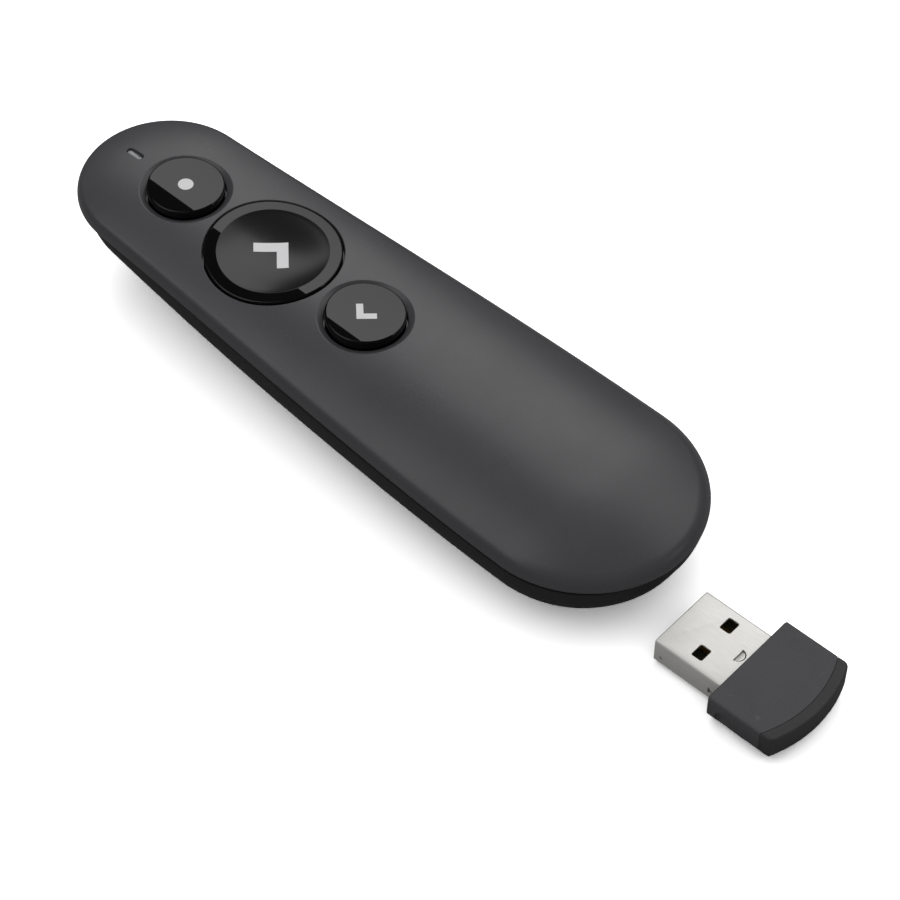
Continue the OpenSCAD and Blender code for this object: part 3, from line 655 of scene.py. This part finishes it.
def buildTopCover():
    wall, rounding, steps = shell["coverWall"], shell["seamRound"], shell["seamSteps"]
    rings = [ringAt(share, wall, lambda r, y: topZ(r, y) - wall) for share in shell["ceilingShares"]]
    rings.append(ringAt(1, wall, overSeam, tucked=1))
    for k in range(steps + 1):  # the rounded lower edge
        a = quarter(k, steps)
        inset = shell["seamStep"] + rounding * (1 - math.sin(a))
        rings.append(ringAt(1, inset, lambda r, y: overSeam(r, y) + rounding * (1 - math.cos(a)), tucked=1))
    rings += sideRings()
    rings += [rimRing(quarter(k, shell["rimSteps"])) for k in range(shell["rimSteps"] + 1)]
    rings += [ringAt(share, 0, topZ, rolled=1) for share in shell["topShares"]]
    cover = objectFrom(sweepRings(rings), "topCover")

    for button in buttons.values():
        cutAway(cover, holeCutter(button))
    cutAway(cover, slotCutter())
    fit = buttonFit
    for button in buttons.values():  # room for the collars under the crowned ceiling
        pocket = button["radius"] + fit["collarWidth"] + fit["gap"]
        room = roundBar(pocket, fit["pocketLow"], fit["pocketTop"], 96)
        cutAway(cover, moved(room, topFrame(button["place"])))
    pin, end, body, low, top = (stakes[key] for key in ("pinRadius", "pinLow", "radius", "low", "top"))
    for y in stakes["y"]:
        for side in (-1, 1):
            stake = turnProfile([(0, end), (pin, end), (pin, low), (body, low), (body, top), (0, top)], 40)
            joinOn(cover, moved(stake, topFrame(y) @ shifted(side * stakes["x"], 0, 0)))
    post, pilot, low, top = (screws[key] for key in ("postRadius", "pilotRadius", "postLow", "postTop"))
    roof = top - screws["postRoof"]
    for side in (-1, 1):
        profile = [(pilot, low), (post, low), (post, top), (0, top), (0, roof), (pilot, roof), (pilot, low)]
        joinOn(cover, moved(turnProfile(profile, 40), shifted(side * screws["x"], screws["y"], 0)))
    finishPiece(cover, "clicker", softShell, ["top_cover"])
    smoothTop(cover.data)


def buildLightGuide():  # clear bar from the status light up into the slot of the cover
    s = lightSlot
    top = -s["recess"]
    rings = []
    easedEnd = ((0, top - 0.08), (0.03, top - 0.02), (0.1, top))
    for inset, z in ((0, s["low"]), *easedEnd):
        points = slotOutline(s["length"] - s["width"], s["width"] / 2 - s["fit"] - inset)
        rings.append([(x, s["y"] + y, z) for x, y in points])
    guide = objectFrom(sweepRings(rings, capped=True), "lightGuide")
    trim, half, back = 0.01, s["halfWidth"], s["legBack"]  # the trim keeps the leg's faces off the bar's
    joinOn(guide, block(half, back, s["y"], s["low"] + 2 * trim, s["under"], s["bevel"]))
    joinOn(guide, block(half - trim, back + trim, s["legFront"], s["legLow"], s["legTop"], s["bevel"]))
    guide.data.transform(topFrame(0))
    finishPiece(guide, "clicker", guidePlastic, ["light_guide"])


def bellyRings(inset, floorRise):  # from the middle of the floor out to the skirt
    rings = [ringAt(0, inset, lambda r, y: bellyZ(bellyEnd, y, floorRise), tucked=1)]
    for degrees in shell["bellyAngles"]:
        a = math.radians(degrees)
        rings.append(ringAt(math.cos(a), inset, lambda r, y: bellyZ(a, y, floorRise), tucked=1))
    return rings


def caseSkin(inset=0.0, floorRise=0.0):  # the case's outside, up to the rounded edge at the seam
    rings, rounding, steps = bellyRings(inset, floorRise), shell["seamRound"], shell["seamSteps"]
    for k in range(steps + 1):
        a = quarter(k, steps)
        height = lambda r, y: underSeam(r, y) - rounding * (1 - math.sin(a))
        rings.append(ringAt(1, inset + rounding * (1 - math.cos(a)), height, tucked=1))
    return rings


def caseSolid(inset=0.0, floorRise=0.0):
    return sweepRings(caseSkin(inset, floorRise) + [ringAt(0, 0, underSeam)])


bays = {
    "beyondPalm": -70, "underCase": -1, "overCell": 20,
    "doorHalf": 9.85, "doorFront": 23.95, "doorThick": 2.6, "doorGap": 0.25, "plate": 1.0,
    "tongueHalf": 4, "tongueLow": 1.79, "tongueReach": 1.2,
    "cellHalf": 5.6, "cellBack": -53.44, "cellFront": -4.24, "cellTop": 11.0, "cellHeight": 7.3,
    "cellBed": -49.77, "cellBedLength": 48.2,
    "receiverHalf": 9.35, "receiverBack": -3.24, "receiverFront": 22.55, "receiverTop": 9.1, "wall": 0.8,
    "laserHeight": 11.3, "barrelBack": 47.85, "barrelRadius": 2.6, "barrelLength": 6.3, "barrelFit": 0.05,
    "windowY": 55.8, "windowRadius": 2.0, "windowWall": 0.8, "apertureRadius": 1.6,
    "cradleHalf": 4, "cradlePlaces": (0.6, 4.4), "cradleThick": 1.2,
}


def barAlong(y, height, radius, length, steps=48):  # a round bar that points to the nose
    place = shifted(0, y, height) @ Matrix.Rotation(-math.pi / 2, 4, "X")
    return moved(roundBar(radius, 0, length, steps), place)


def barAtScrew(side, low, high, radius):  # an upright round bar where a screw stands
    return moved(roundBar(radius, low, high, 40), shifted(side * screws["x"], screws["y"], 0))


def innerWalls():  # the plate over the door, both bays, the screw bosses and the laser's cradles
    b = bays
    plateZ = b["doorThick"] + b["doorGap"]
    plate = block(b["doorHalf"] + 2, b["beyondPalm"], b["doorFront"] + 1, plateZ, plateZ + b["plate"])
    walls = objectFrom(plate, "inner walls")
    half, back = b["cellHalf"] + b["wall"], b["cellBack"] - b["wall"]
    joinOn(walls, block(half, back, b["cellFront"] - 0.02, plateZ, b["cellTop"]))
    half, front = b["receiverHalf"] + b["wall"], b["receiverFront"] + b["wall"]
    joinOn(walls, block(half, b["cellFront"] - 0.04, front, plateZ, b["receiverTop"] + b["wall"]))
    for side in (-1, 1):
        joinOn(walls, barAtScrew(side, plateZ, b["cellTop"] - 0.03, screws["bossRadius"]))
    for place in b["cradlePlaces"]:
        back = b["barrelBack"] + place
        joinOn(walls, block(b["cradleHalf"], back, back + b["cradleThick"], 0, b["laserHeight"]))
    joinOn(walls, barAlong(b["windowY"] - 1, b["laserHeight"], b["windowRadius"] + b["windowWall"], 4))
    combine(walls, caseSolid(shell["caseWall"] / 2, shell["floorWall"] / 2), "INTERSECT")
    return walls


def buildBottomCase():
    wall, lip, b = shell["caseWall"], shell["lipInset"], bays
    lipTop = lambda r, y: seamZ(y) + (shell["lipRise"] if y < shell["lipEnd"] else -shell["noseLipDrop"])
    rings = caseSkin()
    for inset, heightAt in ((lip, underSeam), (lip, lipTop), (wall, lipTop)):
        rings.append(ringAt(1, inset, heightAt, tucked=1))
    rings += bellyRings(wall, shell["floorWall"])[::-1]
    case = objectFrom(sweepRings(rings), "bottomCase")
    joinOn(case, innerWalls())

    doorZ, gap, under = b["doorThick"] + b["doorGap"], b["doorGap"], b["underCase"]
    cutAway(case, block(b["doorHalf"] + gap, b["beyondPalm"], b["doorFront"] + gap, under, doorZ))
    cutAway(case, block(b["cellHalf"], b["cellBack"], b["cellFront"], under, b["overCell"]))
    cutAway(case, block(b["receiverHalf"], b["receiverBack"], b["receiverFront"], under, b["receiverTop"]))
    for side in (-1, 1):
        cutAway(case, barAtScrew(side, under, screws["shankTop"], screws["shankHole"]))
        cutAway(case, barAtScrew(side, under, screws["seat"], screws["headHole"]))
    height, fit = b["laserHeight"], b["barrelFit"]
    cutAway(case, barAlong(b["barrelBack"] - 1, height, b["barrelRadius"] + fit, b["barrelLength"] + 1.02))
    cutAway(case, barAlong(b["windowY"] - 2, height, b["windowRadius"] + fit, 2))
    cutAway(case, barAlong(b["windowY"] - 0.01, height, b["apertureRadius"], 6))
    # the case and its walls get the darker plastic with painted shade
    finishPiece(case, "clicker", shadedCaseShell, ["bottom_case"])


doorGrips = {"count": 5, "pitch": 2.4, "width": 0.8, "sink": 0.05, "length": 9.0, "place": -31.95}


def buildBatteryDoor():
    b, g = bays, doorGrips
    door = objectFrom(caseSolid(), "batteryDoor")
    front = b["doorFront"]
    combine(door, block(b["doorHalf"], b["beyondPalm"], front, b["underCase"], b["doorThick"]), "INTERSECT")
    tongue = block(b["tongueHalf"], front - 1, front + b["tongueReach"], b["tongueLow"], b["doorThick"] - 0.1)
    joinOn(door, tongue)
    cutAway(door, barAlong(b["cellBed"], b["cellHeight"], b["cellHalf"], b["cellBedLength"], 96))
    for k in range(g["count"]):
        y = g["place"] + (k - (g["count"] - 1) / 2) * g["pitch"]
        across = shifted(-g["length"] / 2, y, g["sink"]) @ Matrix.Rotation(-math.pi / 2, 4, "Z")
        cutAway(door, moved(barAlong(0, 0, g["width"] / 2, g["length"], 24), across))
    # the door gets the same darker plastic with painted shade as the case
    finishPiece(door, "door", shadedCaseShell, ["battery_door"])


def roundedCorner(r, z, rounding, steps=8):  # from a flat top at height z, round to a wall at radius r
    points = []
    for k in range(steps + 1):
        a = quarter(k, steps)
        points.append((r - rounding * (1 - math.sin(a)), z - rounding * (1 - math.cos(a))))
    return points


def capProfile(button):
    fit = buttonFit
    r, top, dish, lipR = button["radius"], button["rise"], button["dish"], button["dishRadius"]
    edge = r - fit["edgeRound"]
    reach = lipR if dish else edge
    outer = [(reach * k / 24, top - dish * (1 - (k / 24) ** 2)) for k in range(24)]
    if dish:  # close rings on both sides of the dish's edge keep the flats flat
        outer += [(lipR - near, top - near * 2 * dish / lipR) for near in (0.04, 0.012)]
        flat = lipR + 0.05
        outer += [(lipR + 0.012, top), (flat, top)]
        outer += [(flat + (edge - 0.05 - flat) * k / 5, top) for k in range(1, 5)]
    outer += [(edge - 0.04, top)] + roundedCorner(r, top, fit["edgeRound"])
    collar, collarTop, ease = r + fit["collarWidth"], fit["collarTop"], fit["collarRound"]
    outer += [(r, collarTop), (collar - ease, collarTop), (collar, collarTop - ease)]
    low, inner, under = collarTop - fit["collarDepth"], r - fit["wall"], top - dish - fit["wall"]
    outer += [(collar, low), (inner, low), (inner, under)]
    post, end, ease = fit["postRadius"], fit["postEnd"], fit["postRound"]
    return outer + [(post, under), (post, end + ease), (post - ease, end), (0, end)]


def capFall(button, x):  # the caps are crowned like the cover, and each leans a little its own way
    return crownAt(x) + button["lean"] * x


def buildButton(key):
    button = buttons[key]
    bm = turnProfile(capProfile(button), 192 if button["dish"] else 128)
    for v in bm.verts:
        share = min(max(1 - v.co.z / mm / buttonFit["collarTop"], 0), 1)
        v.co.z -= capFall(button, v.co.x / mm) * share * mm
    cap = objectFrom(moved(bm, topFrame(button["place"])), key + "Button")
    finishPiece(cap, key + "_cap", pianoBlack, [key + "_button"], crease=28)
    if button["dish"]:
        cap.data.materials.append(satinDish)
        back = topFrame(button["place"]).inverted()
        floorZ = button["rise"] - 1.2 * button["dish"]
        for face in cap.data.polygons:
            middle = back @ face.center / mm
            if middle.xy.length < button["dishRadius"] and middle.z + capFall(button, middle.x) > floorZ:
                face.material_index = 1


# printed signs on the caps, in the top face's frame

signs = {
    "laser": {"kind": "dot", "radius": 1.22},
    "next": {"kind": "arrow", "arm": 5.4, "stroke": 1.8, "tip": 3.3, "side": 1},
    "back": {"kind": "arrow", "arm": 3.1, "stroke": 1.08, "tip": 2.0, "side": -1},
}
ink = {"proud": 0.02, "thick": 0.03, "cuts": 6, "cutPitch": 0.7, "cutStart": 0.13}


def signOutline(sign):
    if sign["kind"] == "dot":
        angles = [math.tau * k / 48 for k in range(48)]
        return [(sign["radius"] * math.cos(a), sign["radius"] * math.sin(a)) for a in angles]
    arm, stroke, side = sign["arm"], sign["stroke"], sign["side"]
    turn = math.radians(135 if side > 0 else -45)
    points = []
    for x, y in ((0, 0), (arm, 0), (arm, stroke), (stroke, stroke), (stroke, arm), (0, arm)):
        along = x * math.cos(turn) - y * math.sin(turn) + side * sign["tip"]
        points.append((along, x * math.sin(turn) + y * math.cos(turn)))
    return points


def buildSign(key):
    button = buttons[key]
    bm = bmesh.new()
    bm.faces.new([bm.verts.new((x * mm, y * mm, 0)) for x, y in signOutline(signs[key])])
    for k in range(-ink["cuts"], ink["cuts"] + 1):  # cuts across the face let it follow the cap
        for axis in (Vector((1, 0, 0)), Vector((0, 1, 0))):
            cut = axis * (k * ink["cutPitch"] + ink["cutStart"]) * mm
            whole = bm.verts[:] + bm.edges[:] + bm.faces[:]
            bmesh.ops.bisect_plane(bm, geom=whole, plane_co=cut, plane_no=axis)
    for v in bm.verts:
        share = min(v.co.xy.length / mm / button["dishRadius"], 1)
        height = button["rise"] + ink["proud"] - button["dish"] * (1 - share ** 2)
        v.co.z = (height - capFall(button, v.co.x / mm)) * mm
    bmesh.ops.recalc_face_normals(bm, faces=bm.faces)
    bmesh.ops.solidify(bm, geom=bm.faces[:], thickness=ink["thick"] * mm)
    sign = objectFrom(moved(bm, topFrame(button["place"])), key + "Sign")
    finishPiece(sign, key + "_cap", iconInk)


buildTopCover()
buildLightGuide()
print("top cover built")
buildBottomCase()
print("bottom case built")
buildBatteryDoor()
print("battery door built")
for key in buttons:
    buildButton(key)
    buildSign(key)
print("buttons and signs built")


# receiver, in its own frame: the plug points along +y from the housing's face

receiver = {
    "x": -4.1, "y": -75.35, "width": 18.0, "height": 6.0, "length": 9.2, "wall": 0.6, "bowRadius": 20.0,
    "endCap": 1.7, "capGap": 0.05, "jointRound": 0.06, "jointSteps": 3,
    "spigotInset": 0.14, "spigotLength": 0.6,
    "topRound": 0.4, "bellyAcross": 1.45, "bellyUp": 2.25, "frontRound": 0.35, "frontSteps": 5,
    "backRound": 0.3, "cornerRound": 0.7, "backSlope": 1.3, "backSteps": 12,
}
plug = {
    "width": 12.0, "height": 4.5, "length": 11.9, "root": 3.0, "steel": 0.3, "corner": 0.45,
    "fit": 0.05, "flare": 0.08,
}
windows = {"width": 2.45, "length": 1.95, "x": 3.2, "fromTip": 5.25, "corner": 0.35}
lance = {"y": 1.62, "radius": 1.05, "slit": 0.16, "drop": 0.35, "sheet": 0.2, "steps": 24, "rows": 4}
sideMarks = {
    "tip": [(11.0, 2.05), (10.65, 2.6), (10.15, 2.0)],
    "root": [(2.1, 3.25), (2.05, 2.0), (1.0, 2.3)],
    "depth": 0.5, "beyond": 0.3,
}
scallop = {"y": -3.05, "radius": 1.5, "height": 2.9, "depth": 0.5, "lip": 0.2}
plugLow = (receiver["height"] - plug["height"]) / 2
plugTop = plugLow + plug["height"]


def receiverPlace(bm):
    return moved(bm, shifted(receiver["x"], receiver["y"], 0))


def roundedRectangle(half, low, high, r, steps=6):  # (x, z) round it from the bottom right
    points = []
    for right, over, start in ((1, 0, -90), (1, 1, 0), (-1, 1, 90), (-1, 0, 180)):
        x, z = right * (half - r), high - r if over else low + r
        for k in range(steps + 1):
            a = math.radians(start + 90 * k / steps)
            points.append((x + r * math.cos(a), z + r * math.sin(a)))
    return points


def bowBack(x, out):  # how far behind the face the bowed line lies at x
    r = receiver
    sag = r["bowRadius"] - math.sqrt(r["bowRadius"] ** 2 - (r["width"] / 2) ** 2)
    centre = r["bowRadius"] - r["length"] - sag
    reach = r["bowRadius"] + out
    return centre - math.sqrt(max(reach ** 2 - x ** 2, 0))


def acrossSamples(half, corner, steps=8, middle=14):  # x places, close together at the two rounded sides
    edge = [half - corner * (1 - math.cos(quarter(k, steps))) for k in range(steps + 1)]
    flat = [(half - corner) * (1 - 2 * k / middle) for k in range(1, middle)]
    return edge + flat + [-x for x in reversed(edge)]


def housingRing(inset, yAt, lift=0.0, sides=0.0):  # over the top from right to left, then back below
    r = receiver
    half, top = r["width"] / 2 - inset - sides, max(r["topRound"] - inset * 0.4, 0.15)
    upper, lower = [], []
    for x in acrossSamples(half, r["bellyAcross"]):
        edge = half - abs(x)
        rise = max(r["bellyUp"] * (1 - edge / r["bellyAcross"]), lift)
        upper.append((x, yAt(x), r["height"] - inset - rolledOver(top, edge)))
        lower.append((x, yAt(x), inset + rise))
    return upper + lower[::-1]


def pairedSweep(rings):  # both ends are closed from the upper half of the ring to the lower
    bm = sweepRings(rings)
    for boundary in (rings[0], rings[-1]):
        count = len(boundary)
        verts = []
        for point in boundary:
            target = Vector(point) * mm
            verts.append(min(bm.verts, key=lambda v: (v.co - target).length_squared))
        for i in range(count // 2 - 1):
            corners = [verts[i], verts[i + 1], verts[count - 2 - i], verts[count - 1 - i]]
            corners = [v for n, v in enumerate(corners) if v not in corners[:n]]
            if len(corners) > 2:
                bm.faces.new(corners)
    bmesh.ops.recalc_face_normals(bm, faces=bm.faces)
    return receiverPlace(bm)


def buildHousing():
    r, front, joint, wall = receiver, receiver["frontRound"], receiver["jointRound"], receiver["wall"]
    rings = []
    for k in range(r["frontSteps"] + 1):
        a = quarter(k, r["frontSteps"])
        rings.append(housingRing(front * (1 - math.sin(a)), lambda x: -front * (1 - math.cos(a))))
    for share in (0.02, 0.25, 0.5, 0.75, 0.98):
        rings.append(housingRing(0, lambda x: -front + share * (bowBack(x, 0) + joint + front)))
    for k in range(r["jointSteps"] + 1):
        a = quarter(k, r["jointSteps"])
        line = lambda x: bowBack(x, 0) + joint * (1 - math.sin(a))
        rings.append(housingRing(joint * (1 - math.cos(a)), line))
    housing = objectFrom(pairedSweep(rings), "receiverHousing")
    hollow = [housingRing(wall, lambda x: -wall), housingRing(wall, lambda x: bowBack(x, 0.5))]
    cutAway(housing, pairedSweep(hollow))
    fit = plug["fit"]
    mouth = block(plug["width"] / 2 + fit, -wall - 1, 1, plugLow - fit, plugTop + fit)
    cutAway(housing, receiverPlace(mouth))
    reach, lip = scallop["radius"], scallop["lip"]
    for side in (-1, 1):  # shallow finger scallop low on each side
        disc = turnProfile([(0, 0), (reach - lip, 0), (reach, lip), (reach, 3), (0, 3)], 48)
        place = shifted(side * (r["width"] / 2 - scallop["depth"]), scallop["y"], scallop["height"])
        cutAway(housing, receiverPlace(moved(disc, place @ Matrix.Rotation(side * math.pi / 2, 4, "Y"))))
    finishPiece(housing, "receiver", receiverShell, ["receiver_housing"])


def buildEndCap():
    r, joint = receiver, receiver["jointRound"]
    rings = []
    back, slope = r["capGap"] + r["endCap"], r["backSlope"]
    for setoff in (r["spigotLength"], 0.0):  # the spigot that seats in the housing
        rings.append(housingRing(r["spigotInset"], lambda x: bowBack(x, r["capGap"]) + setoff))
    for k in range(r["jointSteps"] + 1):
        a = quarter(k, r["jointSteps"])
        line = lambda x: bowBack(x, r["capGap"]) - joint * (1 - math.cos(a))
        rings.append(housingRing(joint * (1 - math.sin(a)), line))
    for k in range(r["backSteps"] + 1):  # the back slopes in below, and is rounded at the top and the corners
        left = slope * (1 - k / r["backSteps"]) ** 1.5
        turned, rolled = rolledOver(r["cornerRound"], left), rolledOver(r["backRound"], left)
        lift = r["bellyUp"] * (1 - left / slope) - rolled
        rings.append(housingRing(rolled, lambda x: bowBack(x, back) + left, lift, turned - rolled))
    cap = objectFrom(pairedSweep(rings), "receiverEndCap")
    finishPiece(cap, "receiver", receiverEnd, ["receiver_end_cap"])


def buildPlugShell():
    half, steel, corner, tip = plug["width"] / 2, plug["steel"], plug["corner"], plug["length"]

    def section(inset, y):  # the tube's outline, drawn in by the inset
        points = roundedRectangle(half - inset, plugLow + inset, plugTop - inset, corner - inset)
        return [(x, y, z) for x, z in points]

    root, eased = -plug["root"], [(0, tip - 0.22), (0, tip - 0.12), (0.04, tip - 0.04), (0.1, tip)]
    inside = [(steel - plug["flare"], tip), (steel, tip - 0.1), (steel, root)]
    rings = [section(inset, y) for inset, y in [(steel, root), (0, root), (0, tip / 2)] + eased + inside]
    shellPiece = objectFrom(receiverPlace(sweepRings(rings)), "plugShell")

    w = windows
    y = tip - w["fromTip"] - w["length"] / 2
    points = roundedRectangle(w["width"] / 2, -w["length"] / 2, w["length"] / 2, w["corner"])
    for side in (-1, 1):
        levels = (-1, receiver["height"] + 1)
        rings = [[(side * w["x"] + px, y + py, z) for px, py in points] for z in levels]
        cutAway(shellPiece, receiverPlace(sweepRings(rings, capped=True)))
    reach = lance["radius"] + lance["slit"]
    angles = [-math.pi * k / lance["steps"] for k in range(lance["steps"] + 1)]
    moon = [(reach * math.cos(a), lance["y"] + reach * math.sin(a)) for a in angles]
    for middle in (plugTop, plugLow):  # half-moon slit of the lanced tab on both wide sides
        rings = [[(px, py, middle + z) for px, py in moon] for z in (-0.5, 0.5)]
        cutAway(shellPiece, receiverPlace(sweepRings(rings, capped=True)))
    for side in (-1, 1):
        for mark in ("tip", "root"):
            depths = (side * (half - sideMarks["depth"]), side * (half + sideMarks["beyond"]))
            rings = [[(x, y, z) for y, z in sideMarks[mark]] for x in depths]
            cutAway(shellPiece, receiverPlace(sweepRings(rings, capped=True)))
    finishPiece(shellPiece, "receiver", plugSteel, ["plug_shell"])


def buildLancedTab():  # the tongue of steel left inside the half-moon slit, bent down at its straight edge
    reach = lance["radius"]
    bm = bmesh.new()
    bmesh.ops.create_grid(bm, x_segments=lance["steps"], y_segments=lance["rows"], size=0.5)
    for v in bm.verts:
        a = -math.pi * (v.co.x + 0.5)
        below = reach * math.sin(a) * (v.co.y + 0.5)
        sink = lance["drop"] * max(1 + below / reach, 0) ** 1.5
        v.co = Vector((reach * math.cos(a), lance["y"] + below, plugTop - 0.02 - sink)) * mm
    mendSkin(bm)
    bmesh.ops.solidify(bm, geom=bm.faces[:], thickness=lance["sheet"] * mm)
    finishPiece(objectFrom(receiverPlace(bm), "lancedTab"), "receiver", plugSteel)


buildHousing()
buildEndCap()
buildPlugShell()
buildLancedTab()
print("receiver built")


# what the case hides keeps its own shape and gets its finish here

insideFinishes = [
    (boardMask, ["main_board", "receiver_board"]),
    (switchPlastic, ["switch_bases", "radio_chip", "power_inductor", "receiver_chip"]),
    (springSteel, [
        "switch_covers", "laser_dome", "next_dome", "back_dome", "radio_shield", "crystal", "laser_leads",
        "cell_cap", "positive_contact", "negative_contact", "negative_spring", "case_screws",
    ]),
    (whitePlastic, ["laser_plunger", "next_plunger", "back_plunger", "status_light"]),
    (ceramicBody, ["capacitors"]),
    (brassTube, ["laser_barrel", "laser_diode"]),
    (lensGlass, ["laser_lens"]),
    (darkWindow, ["laser_window"]),
    (cellWrap, ["cell_can"]),
    (tonguePlastic, ["plug_tongue"]),
    (contactGold, ["plug_contacts"]),
]
for material, names in insideFinishes:
    for name in names:
        nodes[name].data.materials.clear()
        nodes[name].data.materials.append(material)
print("inside finished")


# studio

studio = {
    "floorSize": 3.0, "floorDrop": 0.00002, "floorRoughness": 0.9,
    "floorSeen": 1.9, "floorMirrored": 0.22, "floorBounce": 0.3,
    "softboxHeight": 0.82, "softboxEdgeX": 0.44, "softboxSplitY": 0.22, "softboxWidth": 0.7,
    "softboxDepth": 0.8, "softboxSpread": 139, "softboxLevel": 1.97, "lowerLevel": 1.0,
    "overheadPlace": (-0.36, 0.42, 0.95), "overheadWidth": 0.94, "overheadDepth": 0.6, "overheadLevel": 1.15,
    "kickerPlace": (0.5, -0.8, 0.46), "kickerWidth": 0.12, "kickerLevel": 3.0,
    "roomSeen": 1.0, "roomMirrored": 0.07, "roomGlow": 0.68,
}


def areaPanel(name, centre, target, width, depth, level, spread=180):  # level is the brightness of its face
    light = bpy.data.lights.new(name, "AREA")
    light.shape = "RECTANGLE"
    light.size, light.size_y = width, depth
    light.energy = level * math.pi * width * depth
    light.spread = math.radians(spread)
    panel = bpy.data.objects.new(name, light)
    bpy.context.scene.collection.objects.link(panel)
    panel.location = centre
    panel.rotation_euler = (Vector(target) - Vector(centre)).to_track_quat("-Z", "Y").to_euler()


def seenBy(tree, seen, mirrored, glow):  # tone for camera rays, for mirrored or refracted ones, for others
    rays = tree.nodes.new("ShaderNodeLightPath")
    mirrors = mathNode(tree, "MAXIMUM", rays.outputs["Is Glossy Ray"], rays.outputs["Is Transmission Ray"])
    tone = mathNode(tree, "ADD", mathNode(tree, "MULTIPLY", mirrors, mirrored - glow), glow)
    return mathNode(tree, "ADD", mathNode(tree, "MULTIPLY", rays.outputs["Is Camera Ray"], seen - glow), tone)


def buildFloor():
    s = studio
    bm = bmesh.new()
    bmesh.ops.create_grid(bm, x_segments=1, y_segments=1, size=s["floorSize"] / 2)
    floor = objectFrom(bm, "floor")
    material = bpy.data.materials.new("white floor")
    material.use_nodes = True
    tree = material.node_tree
    surface = tree.nodes["Principled BSDF"]
    tone = seenBy(tree, s["floorSeen"], s["floorMirrored"], s["floorBounce"])
    tree.links.new(tone, surface.inputs["Base Color"])
    surface.inputs["Roughness"].default_value = s["floorRoughness"]
    surface.inputs["Specular IOR Level"].default_value = 0.0
    floor.data.materials.append(material)
    floor.location.z = -s["floorDrop"]


def buildRoom():
    s = studio
    world = bpy.data.worlds.new("studio world")
    bpy.context.scene.world = world
    world.use_nodes = True
    tree = world.node_tree
    background = tree.nodes["Background"]
    tree.links.new(seenBy(tree, s["roomSeen"], s["roomMirrored"], s["roomGlow"]), background.inputs["Color"])
    background.inputs["Strength"].default_value = 1.0


def buildLights():
    s = studio
    x = s["softboxEdgeX"] + s["softboxWidth"] / 2
    halves = (("right softbox", 1, s["softboxLevel"]), ("softbox lower half", -1, s["lowerLevel"]))
    for name, side, level in halves:
        y = s["softboxSplitY"] + side * s["softboxDepth"] / 2
        place, under = (x, y, s["softboxHeight"]), (x, y, 0)
        areaPanel(name, place, under, s["softboxWidth"], s["softboxDepth"], level, s["softboxSpread"])
    place, under = s["overheadPlace"], (*s["overheadPlace"][:2], 0)
    areaPanel("overhead panel", place, under, s["overheadWidth"], s["overheadDepth"], s["overheadLevel"])
    areaPanel("kicker", s["kickerPlace"], (0, 0, 0), s["kickerWidth"], s["kickerWidth"], s["kickerLevel"])


eye = {
    "place": (-0.198203, -0.194169, 0.315330), "azimuth": -47.875, "elevation": 49.745, "roll": 0.2007,
    "lens": 107.89, "sensor": 36, "near": 0.01, "far": 20,
}


def buildCamera():
    data = bpy.data.cameras.new("camera")
    data.sensor_width, data.lens = eye["sensor"], eye["lens"]
    data.clip_start, data.clip_end = eye["near"], eye["far"]
    camera = bpy.data.objects.new("camera", data)
    scene.collection.objects.link(camera)
    camera.matrix_world = (
        Matrix.Translation(eye["place"])
        @ Matrix.Rotation(math.radians(eye["azimuth"]), 4, "Z")
        @ Matrix.Rotation(math.radians(90 - eye["elevation"]), 4, "X")
        @ Matrix.Rotation(math.radians(eye["roll"]), 4, "Z")
    )
    scene.camera = camera


scene = bpy.context.scene
scene.view_settings.view_transform = "Standard"
buildFloor()
buildLights()
buildRoom()
buildCamera()
print("studio set")
